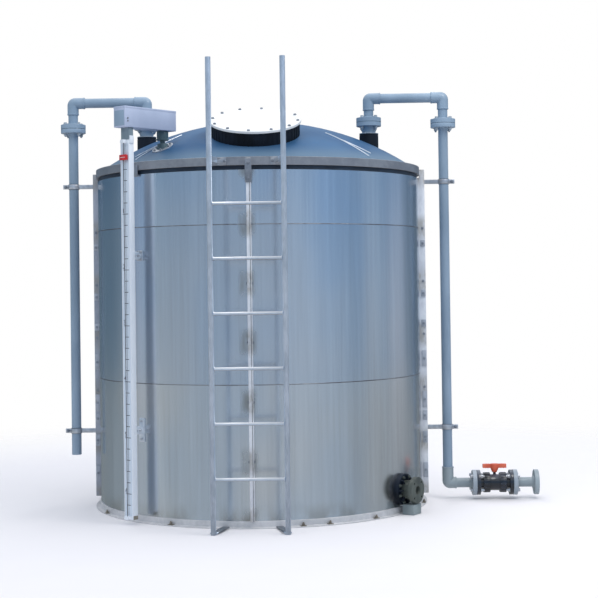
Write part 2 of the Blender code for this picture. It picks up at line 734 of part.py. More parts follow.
def pipe_clamps():
    band = PIPE_RADIUS + SEAT_GAP + CLAMP_BAND
    inner = SHELL_RADIUS + STRIP_DEPTH + SEAT_GAP
    pipe = SHELL_RADIUS + PIPE_STAND_OFF
    for side_name, side in {"left": -1.0, "right": 1.0}.items():
        for level, height in {"upper": SHELL_TOP - CLAMP_DROP, "lower": CLAMP_LIFT}.items():
            name = "pipe_clamp_" + side_name + "_" + level
            centre = side * pipe
            ends = [((centre, 0.0, height - CLAMP_HEIGHT / 2.0), (centre, 0.0, height + CLAMP_HEIGHT / 2.0))]
            piece = rods(name, ends, band, BRIGHT_STEEL, FITTING_STEPS)
            outer = pipe + band + CLAMP_EAR
            size = (outer - inner, CLAMP_ARM, CLAMP_HEIGHT * 0.9)
            bar = blocks(name + "_bar", [(size, Vector((side * (inner + outer) / 2.0, 0.0, height)), 0.0)])
            combine(piece, bar, "UNION")
            place = Matrix.Translation((centre, 0.0, 0.0))
            low = height - CLAMP_HEIGHT
            high = height + CLAMP_HEIGHT
            cutter = hole(name + "_hole", PIPE_RADIUS + SEAT_GAP, low, high, FITTING_STEPS, place)
            combine(piece, cutter, "DIFFERENCE")


def along_x(start):
    # Places a shape turned about Z so that its height runs along +X
    return Matrix.Translation((start, 0.0, INLET_HEIGHT)) @ Matrix.Rotation(math.radians(90.0), 4, "Y")


def ball_valve(start):
    end = VALVE_LENGTH
    centre = VALVE_LENGTH / 2.0
    cavity = BALL_RADIUS + BALL_CLEARANCE
    nut_near = VALVE_FLANGE + VALVE_NECK
    nut_far = nut_near + NUT_WIDTH
    half = [
        (FLANGE_RADIUS, 0.0), (FLANGE_RADIUS, VALVE_FLANGE), (VALVE_NECK_RADIUS, VALVE_FLANGE),
        (VALVE_NECK_RADIUS, nut_near), (NUT_RADIUS, nut_near), (NUT_RADIUS, nut_far),
        (VALVE_BODY_RADIUS, nut_far),
    ]
    outer = half + [(radius, end - height) for radius, height in reversed(half)]
    seat = math.asin(PIPE_BORE / cavity)
    arc = []
    arc_steps = 8
    for count in range(arc_steps + 1):
        angle = seat + (math.pi - 2.0 * seat) * count / arc_steps
        arc.append((cavity * math.sin(angle), centre + cavity * math.cos(angle)))
    inner = [(PIPE_BORE, end)] + arc + [(PIPE_BORE, 0.0)]
    outline = list(reversed(outer)) + list(reversed(inner))
    body = turned("valve_body", outline, VALVE_GREY, FITTING_STEPS, along_x(start))

    axis = start + centre
    stem_top = INLET_HEIGHT + STEM_RISE
    handle_low = INLET_HEIGHT + HANDLE_RISE
    handle_top = handle_low + HANDLE_THICKNESS
    stem_place = Matrix.Translation((axis, 0.0, 0.0))
    stem_hole = STEM_RADIUS + STEM_CLEARANCE
    cutter = hole("stem_hole", stem_hole, INLET_HEIGHT, handle_low, FITTING_STEPS, stem_place)
    combine(body, cutter, "DIFFERENCE")

    # The ball with its stem turns about the upright axis
    bm = bmesh.new()
    bmesh.ops.create_uvsphere(bm, u_segments=BALL_STEPS, v_segments=BALL_STEPS // 2, radius=BALL_RADIUS)
    ball = add_object("valve_ball", mesh_from("valve_ball", bm), BRIGHT_STEEL)
    ball.matrix_world = Matrix.Translation((axis, 0.0, INLET_HEIGHT))
    stem_ends = [((axis, 0.0, INLET_HEIGHT + (BALL_RADIUS + PIPE_BORE) / 2.0), (axis, 0.0, stem_top))]
    port_ends = [((start, 0.0, INLET_HEIGHT), (start + VALVE_LENGTH, 0.0, INLET_HEIGHT))]
    combine(ball, rods("valve_port", port_ends, PIPE_BORE, steps=FITTING_STEPS), "DIFFERENCE")
    combine(ball, rods("valve_stem", stem_ends, STEM_RADIUS, steps=FITTING_STEPS), "UNION")

    foot = stem_top + SEAT_GAP
    outline = [
        (0.0, handle_top), (HANDLE_HEAD_RADIUS, handle_top), (HANDLE_HEAD_RADIUS, handle_low),
        (HANDLE_FOOT_RADIUS, foot), (0.0, foot),
    ]
    handle = turned("valve_handle", outline, HANDLE_RED, FITTING_STEPS, stem_place, ring=False)
    middle = (handle_low + handle_top) / 2.0
    size = (HANDLE_LENGTH, HANDLE_WIDTH, HANDLE_THICKNESS - 2.0 * SEAT_GAP)
    combine(handle, blocks("handle_bar", [(size, Vector((axis, 0.0, middle)), 0.0)]), "UNION")
    return start + VALVE_LENGTH


def inlet_spool(start):
    near = FLANGE_THICKNESS
    far = SPOOL_LENGTH - FLANGE_THICKNESS
    outline = [
        (PIPE_BORE, SPOOL_LENGTH), (FLANGE_RADIUS, SPOOL_LENGTH), (FLANGE_RADIUS, far), (HUB_RADIUS, far),
        (HUB_RADIUS, far - HUB_LENGTH), (PIPE_RADIUS, far - HUB_LENGTH),
        (PIPE_RADIUS, near + HUB_LENGTH), (HUB_RADIUS, near + HUB_LENGTH), (HUB_RADIUS, near),
        (FLANGE_RADIUS, near), (FLANGE_RADIUS, 0.0), (PIPE_BORE, 0.0),
    ]
    turned("inlet_spool", outline, PIPE_GREY, FITTING_STEPS, along_x(start))


def drain_nozzle(panel):
    place = (
        at_azimuth(DRAIN_AZIMUTH) @ Matrix.Translation((0.0, 0.0, DRAIN_HEIGHT))
        @ Matrix.Rotation(math.radians(90.0), 4, "Y")
    )
    pad = SHELL_RADIUS + DRAIN_PAD_REACH
    root = SHELL_RADIUS - DRAIN_PAD_REACH
    outline = [(PIPE_BORE, pad), (DRAIN_PAD_RADIUS, pad), (DRAIN_PAD_RADIUS, root), (PIPE_BORE, root)]
    piece = turned("drain_pad", outline, BLACK_RESIN, FITTING_STEPS, place)
    saddle = hole("drain_saddle", SHELL_RADIUS + SEAT_GAP, 0.0, LOWER_COURSE, TANK_STEPS, None)
    combine(piece, saddle, "DIFFERENCE")

    end = SHELL_RADIUS + DRAIN_STAND_OFF
    flange = end - FLANGE_THICKNESS
    neck = pad + SEAT_GAP
    outline = [
        (PIPE_BORE, end), (FLANGE_RADIUS, end), (FLANGE_RADIUS, flange),
        (DRAIN_NECK_RADIUS, flange), (DRAIN_NECK_RADIUS, neck), (PIPE_BORE, neck),
    ]
    turned("drain_nozzle", outline, BLACK_RESIN, FITTING_STEPS, place)
    cutter = hole("drain_hole", PIPE_BORE, SHELL_RADIUS / 2.0, end, FITTING_STEPS, place)
    combine(panel, cutter, "DIFFERENCE")


def build():
    floor_and_base()
    panels = shell_panels()
    gasket_and_rim()
    joint_strips()
    roof_piece = roof()
    manhole(roof_piece)
    ladder()
    gauge(roof_piece)
    roof_nozzles(roof_piece)
    flange_face = pipework()
    pipe_clamps()
    valve_end = ball_valve(flange_face + SEAT_GAP)
    inlet_spool(valve_end + SEAT_GAP)
    drain_nozzle(panels["shell_lower_front_right"])
    bpy.context.view_layer.update()


build()
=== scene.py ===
import json
import math

import bmesh
import bpy
from mathutils import Matrix, Vector

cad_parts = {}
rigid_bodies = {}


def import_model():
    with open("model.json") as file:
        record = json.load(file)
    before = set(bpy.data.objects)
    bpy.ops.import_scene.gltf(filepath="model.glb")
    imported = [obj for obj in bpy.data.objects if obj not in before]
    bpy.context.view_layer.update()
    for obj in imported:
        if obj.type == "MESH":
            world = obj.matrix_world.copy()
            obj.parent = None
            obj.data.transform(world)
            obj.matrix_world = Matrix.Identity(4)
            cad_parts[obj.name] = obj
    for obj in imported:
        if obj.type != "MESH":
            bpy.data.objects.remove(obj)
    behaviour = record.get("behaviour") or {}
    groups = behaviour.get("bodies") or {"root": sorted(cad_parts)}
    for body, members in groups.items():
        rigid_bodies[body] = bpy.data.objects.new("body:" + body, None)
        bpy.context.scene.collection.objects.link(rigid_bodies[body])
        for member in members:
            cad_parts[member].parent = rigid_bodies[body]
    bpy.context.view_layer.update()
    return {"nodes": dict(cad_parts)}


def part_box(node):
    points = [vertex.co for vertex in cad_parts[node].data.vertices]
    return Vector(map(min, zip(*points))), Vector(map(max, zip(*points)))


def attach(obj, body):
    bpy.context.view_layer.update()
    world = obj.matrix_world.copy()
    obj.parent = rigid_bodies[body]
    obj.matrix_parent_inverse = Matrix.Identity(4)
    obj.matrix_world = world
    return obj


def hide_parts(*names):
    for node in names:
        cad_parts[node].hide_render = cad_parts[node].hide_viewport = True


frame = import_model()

nodes = frame["nodes"]
print("frame loaded:", len(nodes), "solids")


# shader sums: an expression on these adds the Math nodes it needs
class Signal:
    def __init__(self, finish, socket, wide=False):
        self.finish = finish
        self.socket = socket
        self.wide = wide  # a colour or a vector

    def pair(self, operation, first, second):
        wide = any(getattr(side, "wide", isinstance(side, (tuple, Vector))) for side in (first, second))
        kind = "ShaderNodeVectorMath" if wide else "ShaderNodeMath"
        made = self.finish.add(kind, {"operation": operation}, {0: first, 1: second})
        made.wide = wide
        return made

    def __add__(self, other):
        return self.pair("ADD", self, other)

    def __radd__(self, other):
        return self.pair("ADD", other, self)

    def __sub__(self, other):
        return self.pair("SUBTRACT", self, other)

    def __rsub__(self, other):
        return self.pair("SUBTRACT", other, self)

    def __mul__(self, other):
        return self.pair("MULTIPLY", self, other)

    def __rmul__(self, other):
        return self.pair("MULTIPLY", other, self)

    def __truediv__(self, other):
        return self.pair("DIVIDE", self, other)

    def __gt__(self, other):
        return self.pair("GREATER_THAN", self, other)

    def __lt__(self, other):
        return self.pair("LESS_THAN", self, other)


class Finish:
    def __init__(self, name, tree=None):
        self.material = None
        if tree is None:
            self.material = bpy.data.materials.new(name)
            self.material.use_nodes = True
            tree = self.material.node_tree
        self.tree = tree
        self.shader = tree.nodes.get("Principled BSDF")
        self.spot = None

    def add(self, kind, settings=None, sockets=None, out=0):
        made = self.tree.nodes.new(kind)
        for key, value in (settings or {}).items():
            setattr(made, key, value)
        for key, value in (sockets or {}).items():
            self.feed(made.inputs[key], value)
        socket = made.outputs[out]
        return Signal(self, socket, socket.type in ("VECTOR", "RGBA"))

    def feed(self, socket, value):
        # a sum is linked to the socket; a constant is set on the socket itself
        if isinstance(value, Signal):
            self.tree.links.new(value.socket, socket)
            return
        if socket.type in ("VECTOR", "RGBA") and not isinstance(value, tuple):
            value = (value,) * 3
        socket.default_value = (*value, 1) if socket.type == "RGBA" else value

    def place(self):
        if self.spot is None:
            self.spot = self.add("ShaderNodeTexCoord", out="Object")
        return self.spot

    def axes(self, vector):
        split = self.add("ShaderNodeSeparateXYZ", sockets={0: vector})
        node = split.socket.node
        return tuple(Signal(self, node.outputs[index]) for index in range(3))

    def noise(self, scale, stretch, detail, rough=.5, shift=(0, 0, 0)):
        spot = self.add("ShaderNodeMapping", None, {"Vector": self.place(), "Location": shift, "Scale": stretch})
        return self.add("ShaderNodeTexNoise", None,
                        {"Vector": spot, "Scale": scale, "Detail": detail, "Roughness": rough})

    def ease(self, value, low, high):
        return self.add("ShaderNodeMapRange", {"interpolation_type": "SMOOTHSTEP"},
                        {"Value": value, "From Min": low, "From Max": high})

    def ramp(self, value, stops):
        made = self.add("ShaderNodeValToRGB", None, {0: value})
        elements = made.socket.node.color_ramp.elements
        while len(elements) < len(stops):
            elements.new(.5)
        for element, (place, colour) in zip(elements, stops):
            element.position = place
            element.color = (*colour, 1)
        return made

    def mix(self, first, second, factor):
        return self.add("ShaderNodeMix", {"data_type": "RGBA"}, {0: factor, 6: first, 7: second}, out=2)

    def bump(self, height, strength, distance, under=None):
        sockets = {"Height": height, "Strength": strength, "Distance": distance}
        if under is not None:
            sockets["Normal"] = under
        return self.add("ShaderNodeBump", None, sockets)

    def band(self, value, middle, reach):
        # 1 at the middle, falling to 0 at the reach on both sides
        away = self.add("ShaderNodeMath", {"operation": "ABSOLUTE"}, {0: value - middle})
        return self.ease(away, reach, reach * .3)

    def beat(self, value, begin, step, reach):
        # 1 at the begin and after every step
        away = self.add("ShaderNodeMath", {"operation": "PINGPONG"}, {0: value + (40 * step - begin), 1: step / 2})
        return self.ease(away, reach, reach * .3)

    def shade(self, **sockets):
        names = {"color": "Base Color", "rough": "Roughness", "metal": "Metallic", "normal": "Normal",
                 "coat": "Coat Weight", "specular": "Specular IOR Level"}
        for key, value in sockets.items():
            self.feed(self.shader.inputs[names[key]], value)
        return self.material


# the shell's rolled sheet: upright grain, soft clouds, rust round the joint bolts, one rust run at the right
sheetLooks = {
    "cool": (.50, .58, .68), "warm": (.60, .63, .67), "stain": (.25, .23, .19), "rust": (.26, .15, .09),
    "rough": .14, "grain": .10, "clouds": .05, "waves": .010, "streaks": .24, "metal": .96,
    "boltStep": .331, "boltFoot": .04, "stainReach": .062, "stainRise": .095, "stainShare": .62,
    "frontStain": -.014, "rightStain": -.02, "runPlace": -.205, "runReach": .016, "runTop": 1.10, "runFoot": .70,
    "grimeTop": .15, "grimeFoot": .04, "grimeShare": .40,
}


def rolledSheet(name, tint, looks=sheetLooks):
    sheet = Finish(name)
    x, y, z = sheet.axes(sheet.place())
    grain = sheet.noise(75, (1, 1, .015), 4, .6)
    broad = sheet.noise(14, (1, 1, .05), 3, .6, (2, 1, 0))
    clouds = sheet.noise(1.6, (1, 1, .6), 2)
    waves = sheet.noise(1.1, (1, 1, .7), 1)
    streaks = looks["streaks"]
    base = sheet.mix(looks["cool"], looks["warm"], sheet.ease(clouds, .35, .68))
    base = base * (tint * (1 - streaks) + streaks * grain + streaks * broad)
    speckle = sheet.ease(sheet.noise(22, (1, 1, .28), 4, .55, (3, 0, 1)), .34, .66)
    besideFront = sheet.band(x, looks["frontStain"], looks["stainReach"]) * (y < 0.0)
    besideRight = sheet.band(y, looks["rightStain"], looks["stainReach"]) * (x > 0.0)
    atBolts = sheet.beat(z, looks["boltFoot"], looks["boltStep"], looks["stainRise"])
    stain = (.35 + .65 * speckle) * atBolts * (besideFront + .6 * besideRight) * looks["stainShare"]
    run = sheet.band(y, looks["runPlace"], looks["runReach"]) * (x > 0.0)
    run = run * sheet.ease(z, looks["runTop"], looks["runFoot"])
    patches = sheet.ease(sheet.noise(6, (1, 1, .5), 3), .40, .62)
    grime = sheet.ease(z, looks["grimeTop"], looks["grimeFoot"]) * patches * looks["grimeShare"]
    base = sheet.mix(base, looks["stain"], stain + grime)
    base = sheet.mix(base, looks["rust"], run * (.35 + .5 * speckle))
    rough = looks["rough"] + looks["grain"] * grain + looks["clouds"] * clouds + .3 * stain
    normal = sheet.bump(waves, .35, looks["waves"], sheet.bump(grain, .10, .0006))
    return sheet.shade(color=base, rough=rough, metal=looks["metal"], normal=normal)


def agedMetal(name, light, dark, rough, metal=.9, rust=None, rustShare=0.0, rustSize=14):
    # plain steel with a fine grain, cloudy tone and, where asked, rust that gathers in patches
    steel = Finish(name)
    fine = steel.noise(40, (1, 1, 1), 4, .6)
    clouds = steel.noise(4, (1, 1, 1), 3)
    base = steel.mix(dark, light, steel.ease(clouds * .6 + fine * .4, .38, .62))
    rough = rough + .12 * fine
    if rust is not None:
        start = .74 - rustShare * .36
        patch = steel.ease(steel.noise(rustSize, (1, 1, .6), 5, .65, (5, 2, 0)), start, start + .16)
        base = steel.mix(base, rust, patch)
        rough = rough + .3 * patch
        metal = metal * (1 - .8 * patch)
    return steel.shade(color=base, rough=rough, metal=metal, normal=steel.bump(fine, .15, .0006))


def mouldedResin(name, light, dark, rough, mottle, pits=180, dust=None, coat=0.0, specular=.5):
    # moulded or extruded resin: a faint mottle, fine pits and pale dust on what faces up
    resin = Finish(name)
    cloud = resin.noise(mottle, (1, 1, .5), 3)
    pitted = resin.noise(pits, (1, 1, 1), 2)
    base = resin.mix(dark, light, resin.ease(cloud, .36, .64))
    rough = rough + .12 * cloud
    if dust is not None:
        upward = resin.axes(resin.add("ShaderNodeNewGeometry", out="Normal"))[2]
        settled = resin.ease(upward, .45, 1.0) * resin.ease(resin.noise(9, (1, 1, 1), 4), .35, .7) * .55
        base = resin.mix(base, dust, settled)
        rough = rough + .2 * settled
    return resin.shade(color=base, rough=rough, metal=0.0, normal=resin.bump(pitted, .12, .0004),
                       coat=coat, specular=specular)


# the rim tone is a painted reflection along the roof's lower edge
roofLooks = {"deep": (.024, .095, .215), "pale": (.050, .140, .280), "rim": (.15, .23, .31),
             "rimTop": 2.17, "rimFoot": 2.07}


def roofFinish(name):
    # blue sheet with faint runs down the slope; its deep blue is partly a painted reflection of the sky, its paling
    # towards the rim a painted reflection
    sheet = Finish(name)
    z = sheet.axes(sheet.place())[2]
    runs = sheet.noise(16, (1, 1, 3.2), 4, .6)
    clouds = sheet.noise(2.2, (1, 1, 1), 3)
    base = sheet.mix(roofLooks["deep"], roofLooks["pale"], sheet.ease(clouds, .35, .66)) * (.88 + .24 * runs)
    # paler towards the rim: a painted reflection
    base = sheet.mix(base, roofLooks["rim"], sheet.ease(z, roofLooks["rimTop"], roofLooks["rimFoot"]) * .8)
    return sheet.shade(color=base, rough=.40 + .12 * runs, metal=.20, specular=.22,
                       normal=sheet.bump(clouds, .2, .006, sheet.bump(runs, .1, .001)))


def jointFinish(name, light, dark):
    # painted flange, stained brown round each bolt
    paint = Finish(name)
    z = paint.axes(paint.place())[2]
    fine = paint.noise(50, (1, 1, .4), 4, .6)
    clouds = paint.noise(6, (1, 1, .5), 3)
    base = paint.mix(dark, light, paint.ease(clouds * .6 + fine * .4, .36, .60))
    stain = paint.beat(z, sheetLooks["boltFoot"], sheetLooks["boltStep"], .10) * (.30 + .7 * paint.ease(fine, .35, .6))
    base = paint.mix(base, (.30, .28, .24), stain * .65)
    return paint.shade(color=base, rough=.40 + .15 * fine, metal=.25, normal=paint.bump(fine, .15, .0006))


# the rung tones are a painted highlight on top and painted shade below; the foot bars' dark tone is painted shade with
# grime
ladderLooks = {"front": -1.205, "rungHalf": .187, "footTop": .1, "stays": 1.9, "dark": (.46, .54, .64),
               "light": (.60, .68, .79), "rungTopHighlight": (.86, .86, .88), "rungUnderShade": (.30, .25, .21), "stay": (.36, .38, .42),
               "grime": (.10, .11, .12), "rubbed": (.33, .30, .28)}


def ladderFinish(name):
    # pale steel; the rungs get a painted highlight on top and painted shade below, the foot bars painted shade with
    # grime
    steel, looks = Finish(name), ladderLooks
    x, y, z = steel.axes(steel.place())
    upward = steel.axes(steel.add("ShaderNodeNewGeometry", out="Normal"))[2]
    fine = steel.noise(60, (1, 1, .3), 4, .6)
    clouds = steel.noise(5, (1, 1, 1), 3)
    base = steel.mix(looks["dark"], looks["light"], steel.ease(clouds * .5 + fine * .5, .38, .62))
    across = steel.add("ShaderNodeMath", {"operation": "ABSOLUTE"}, {0: x})
    # rung tops lightened as a painted highlight, undersides darkened as painted shade
    rung = (across < looks["rungHalf"]) * steel.band(y, looks["front"], .03) * (z > looks["footTop"])
    base = steel.mix(base, looks["rungTopHighlight"], rung * steel.ease(upward, -.3, .3))
    base = steel.mix(base, looks["rungUnderShade"], rung * steel.ease(upward, -.35, -.8) * (.5 + fine))
    base = steel.mix(base, looks["stay"], (z > looks["stays"]) * (y > looks["front"] + .12) * .9)
    # foot bars near the floor darkened: painted shade with grime
    base = steel.mix(base, looks["grime"], steel.ease(z, .035, .015) * (y > looks["front"] + .02) * .8)
    rubbed = steel.ease(steel.noise(20, (1, 1, .5), 5, .65, (4, 0, 2)), .64, .74) * .3
    base = steel.mix(base, looks["rubbed"], rubbed)
    return steel.shade(color=base, rough=.32 + .14 * fine + .2 * rubbed, metal=.62, normal=steel.bump(fine, .15, .0006))


sheets = {
    "sheetTop": ("stainlessTopCourse", 1.06),
    "sheetMiddle": ("stainlessMiddleCourse", 1.0),
    "sheetLow": ("stainlessLowCourse", 1.04, {**sheetLooks, "cool": (.54, .60, .67), "warm": (.63, .64, .65)}),
}
metals = {  # light, dark, roughness, metal, then the rust, its share and its size
    "weld": ("weldBead", (.30, .31, .33), (.11, .11, .13), .42),
    # on the roof beads this bright finish is a painted highlight
    "glint": ("polishedAndPaintedGlint", (.82, .86, .91), (.52, .60, .69), .30, .35),
    "inside": ("floorSheet", (.50, .52, .54), (.36, .38, .41), .4),
    "base": ("baseAngle", (.74, .73, .74), (.60, .60, .61), .45, .30, (.42, .35, .29), .20),
    "rim": ("rimAngle", (.36, .37, .40), (.28, .29, .32), .38, .75, (.24, .21, .19), .16, 6),
    "bright": ("brightBolt", (.72, .74, .78), (.48, .50, .54), .28, .75),
    "grey": ("greyClamp", (.33, .36, .41), (.22, .24, .28), .40, .6),
    "pale": ("paleClampPlate", (.50, .53, .59), (.36, .39, .44), .42, .35, (.34, .30, .26), .25),
    "dark": ("darkNut", (.10, .10, .11), (.04, .04, .05), .42, .5),
    "stained": ("stainedBolt", (.34, .31, .26), (.17, .15, .12), .5, .4, (.22, .15, .09), .30),
}
resins = {  # light, dark, roughness, size of the mottle and of the pits, then the dust
    "rubber": ("rimRubber", (.018, .038, .070), (.010, .022, .044), .55, 8),
    "blackResin": ("blackCollar", (.010, .016, .028), (.004, .007, .012), .42, 9, 160, (.05, .06, .08), 0.0, .2),
    "whiteResin": ("whiteLid", (.90, .90, .89), (.80, .81, .81), .36, 3, 120, (.74, .74, .72)),
    "pipe": ("pipeResin", (.30, .40, .51), (.24, .33, .43), .26, 5, 150, (.48, .56, .64)),
    "inletPipe": ("inletResin", (.33, .39, .42), (.24, .29, .32), .26, 5, 150, (.56, .60, .62)),
    "lightPipe": ("paleFlangeResin", (.42, .47, .52), (.32, .37, .42), .30, 6, 150, (.62, .66, .70)),
    "tealCase": ("tealCase", (.085, .15, .18), (.045, .085, .105), .34, 9, 150, (.22, .30, .34)),
    # the leg's grey paints the box's shadow on the board channel
    "legShadowGrey": ("legShadowGrey", (.27, .34, .38), (.19, .25, .29), .38, 12, 150, (.34, .38, .42)),
    # the grey of the block under the drain, a painted shadow
    "restGrey": ("restGrey", (.27, .32, .33), (.18, .22, .23), .50, 8, 110, (.40, .43, .43)),
    "valve": ("valveResin", (.013, .020, .036), (.004, .007, .014), .20, 10, 150, (.40, .44, .52), .5),
    "drain": ("drainResin", (.10, .115, .10), (.045, .055, .050), .38, 14, 150, (.22, .22, .19)),
    "handle": ("handleResin", (.86, .20, .11), (.70, .12, .06), .36, 12, 120, (.90, .42, .32)),
    "gaugeGrey": ("gaugeCaseGrey", (.50, .56, .72), (.42, .48, .63), .42, 5, 140, (.62, .66, .76)),
    "board": ("gaugeBoardWhite", (.84, .88, .93), (.76, .81, .88), .38, 4, 130),
    "scaleFace": ("scaleFace", (.72, .79, .87), (.65, .73, .82), .40, 6, 130),
    "pointer": ("pointerRed", (.72, .03, .03), (.52, .015, .02), .35, 14, 130),
    "ink": ("scaleInk", (.05, .06, .09), (.02, .025, .04), .5, 30, 200),
}
finishes = {key: rolledSheet(*looks) for key, looks in sheets.items()}
finishes.update({key: agedMetal(*looks) for key, looks in metals.items()})
finishes["strip"] = jointFinish("jointFlange", (.84, .86, .90), (.66, .68, .73))
# a darker copy of the flange finish: painted shade for the back and left joints
finishes["stripPaintedShade"] = jointFinish("jointFlangePaintedShade", (.42, .45, .52), (.30, .33, .39))
finishes["ladder"] = ladderFinish("ladderSteel")
finishes["roof"] = roofFinish("roofSheetBlue")
finishes.update({key: mouldedResin(*looks) for key, looks in resins.items()})
print("finishes made:", len(finishes))


def clearSelection():
    if bpy.context.object is not None and bpy.context.object.mode != "OBJECT":
        bpy.ops.object.mode_set(mode="OBJECT")
    bpy.ops.object.select_all(action="DESELECT")


def holdOnly(*pieces):
    clearSelection()
    for piece in pieces:
        piece.select_set(True)
    bpy.context.view_layer.objects.active = pieces[0]


def startEdit(piece, kind="FACE"):
    holdOnly(piece)
    bpy.ops.object.mode_set(mode="EDIT")
    bpy.ops.mesh.select_mode(type=kind)
    bpy.ops.mesh.select_all(action="DESELECT")


def pickFaces(piece, test):
    # selects the faces whose middle and normal pass the test
    mesh = bmesh.from_edit_mesh(piece.data)
    for face in mesh.faces:
        face.select_set(bool(test(face.calc_center_median(), face.normal)))
    bmesh.update_edit_mesh(piece.data)


def settle(piece):
    # puts the place and turn into the mesh, and leaves the object at the origin
    holdOnly(piece)
    bpy.ops.object.transform_apply(location=True, rotation=True, scale=True)
    return piece


def smoothed(piece, angle=35):
    holdOnly(piece)
    bpy.ops.object.shade_smooth_by_angle(angle=math.radians(angle))
    return piece


def modified(piece, kind, **settings):
    # adds a modifier with these settings, and applies it
    holdOnly(piece)
    bpy.ops.object.modifier_add(type=kind)
    added = piece.modifiers[-1]
    for key, value in settings.items():
        setattr(added, key, value)
    bpy.ops.object.modifier_apply(modifier=added.name)
    return piece


def rounded(piece, width, segments=2):
    # a bevel on the sharp edges
    return modified(piece, "BEVEL", width=width, segments=segments, limit_method="ANGLE",
                    angle_limit=math.radians(40))


def cleaned(piece, near=.00002):
    # ends an edit: doubled corners merged, all faces outwards
    bpy.ops.mesh.select_all(action="SELECT")
    bpy.ops.mesh.remove_doubles(threshold=near)
    bpy.ops.mesh.normals_make_consistent(inside=False)
    bpy.ops.object.mode_set(mode="OBJECT")
    return piece


def joined(name, pieces):
    holdOnly(*pieces)
    if len(pieces) > 1:
        bpy.ops.object.join()
    piece = bpy.context.object
    piece.name = name
    piece.data.name = name
    return piece


def present(piece, finish, body="tank", standsFor=()):
    settle(piece)
    piece.data.materials.clear()
    piece.data.materials.append(finishes[finish])
    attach(piece, body)
    if standsFor:
        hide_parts(*standsFor)


def drawLine(corners):
    # one vertex, extruded from corner to corner
    clearSelection()
    bpy.ops.mesh.primitive_plane_add(size=.001, location=corners[0])
    piece = bpy.context.object
    bpy.ops.object.mode_set(mode="EDIT")
    bpy.ops.mesh.select_mode(type="VERT")
    bpy.ops.mesh.select_all(action="SELECT")
    bpy.ops.mesh.merge(type="CENTER")
    for here, there in zip(corners, corners[1:]):
        bpy.ops.mesh.extrude_vertices_move(TRANSFORM_OT_translate={"value": there - here})
    return piece


def ringOutline(inner, outer, low, high, inset=0.0, rise=0.0):
    # a ring's (radius, height) corners, its outer edges cut off by the inset and the rise
    if not inset:
        return [(inner, low), (outer, low), (outer, high), (inner, high)]
    return [(inner, low), (outer - inset, low), (outer, low + rise),
            (outer, high - rise), (outer - inset, high), (inner, high)]


def turned(name, outline, foot=(0, 0, 0), axis=(0, 0, 1), side=(1, 0, 0), steps=176, sweep=360, ring=True, smooth=35):
    # (radius, height) corners drawn and spun about the axis; a ring has a closed outline, else it meets the axis
    foot, axis, side = Vector(foot), Vector(axis).normalized(), Vector(side)
    if abs(side.normalized().dot(axis)) > .9:
        side = Vector((0, 1, 0))
    side = (side - axis * side.dot(axis)).normalized()
    piece = drawLine([foot + side * radius + axis * height for radius, height in outline])
    bpy.ops.mesh.select_all(action="SELECT")
    if ring:
        bpy.ops.mesh.edge_face_add()
        if sweep == 360:
            bpy.ops.mesh.delete(type="ONLY_FACE")
            bpy.ops.mesh.select_all(action="SELECT")
    bpy.ops.mesh.spin(steps=steps, angle=math.radians(sweep), center=foot, axis=axis)
    cleaned(piece)
    piece.name = name
    return smoothed(settle(piece), smooth)


def block(name, low, high, bevel, place=None, segments=2):
    # a bar or plate with rounded edges, in its own axes, then put in place
    low, high = Vector(low), Vector(high)
    clearSelection()
    bpy.ops.mesh.primitive_cube_add(size=1, location=(low + high) / 2, scale=high - low)
    piece = bpy.context.object
    piece.name = name
    rounded(settle(piece), bevel, segments)
    if place is not None:
        piece.data.transform(place)
    return smoothed(piece)


def rod(name, corners, radius, sides=8):
    # a drawn line turned into a round bar
    piece = drawLine([Vector(corner) for corner in corners])
    bpy.ops.object.mode_set(mode="OBJECT")
    settle(piece)
    bpy.ops.object.convert(target="CURVE")
    piece = bpy.context.object
    piece.data.dimensions = "3D"
    piece.data.bevel_depth = radius
    piece.data.bevel_resolution = sides // 4 - 1
    piece.data.use_fill_caps = True
    bpy.ops.object.convert(target="MESH")
    piece = bpy.context.object
    piece.name = name
    startEdit(piece, "VERT")
    return smoothed(cleaned(piece), 50)


def copied(node, name, angle=35, bevel=0.0):
    # a CAD solid's own shape as a new piece, merged, softened at its edges and smooth
    holdOnly(nodes[node])
    bpy.ops.object.duplicate(linked=False)
    piece = bpy.context.object
    bpy.ops.object.parent_clear(type="CLEAR_KEEP_TRANSFORM")
    for key in list(piece.keys()):
        del piece[key]
    piece.name = name
    piece.data.name = name
    startEdit(piece, "VERT")
    bpy.ops.mesh.select_all(action="SELECT")
    bpy.ops.mesh.remove_doubles(threshold=.00001)
    if bevel:
        bpy.ops.mesh.dissolve_limited(angle_limit=math.radians(.5))
    bpy.ops.object.mode_set(mode="OBJECT")
    if bevel:
        rounded(piece, bevel)
    return smoothed(piece, angle)


def dressed(node, name, finish, bevel=0.0, angle=35, body="tank"):
    # a CAD solid's softened copy, in place of it
    present(copied(node, name, angle, bevel), finish, body, (node,))


def cut(piece, cutter):
    modified(piece, "BOOLEAN", operation="DIFFERENCE", solver="EXACT", object=cutter)
    bpy.data.objects.remove(cutter)
    return piece


def cylinder(sides, radius, depth, middle=0.0):
    clearSelection()
    bpy.ops.mesh.primitive_cylinder_add(vertices=sides, radius=radius, depth=depth, location=(0, 0, middle))
    return bpy.context.object


def drilled(piece, places, radius, depth):
    # round holes, each along its place's own Z
    cutters = []
    for place in places:
        cutters.append(cylinder(20, radius, depth))
        cutters[-1].data.transform(place)
    return smoothed(cut(piece, joined("drill", cutters)), 30)


def borer(radius, low, high, foot=(0, 0, 0), axis=(0, 0, 1), side=(1, 0, 0), steps=32):
    # a round cutter, from low to high on its axis
    return turned("hole", ringOutline(0, radius, low, high), foot, axis, side, steps, ring=False)


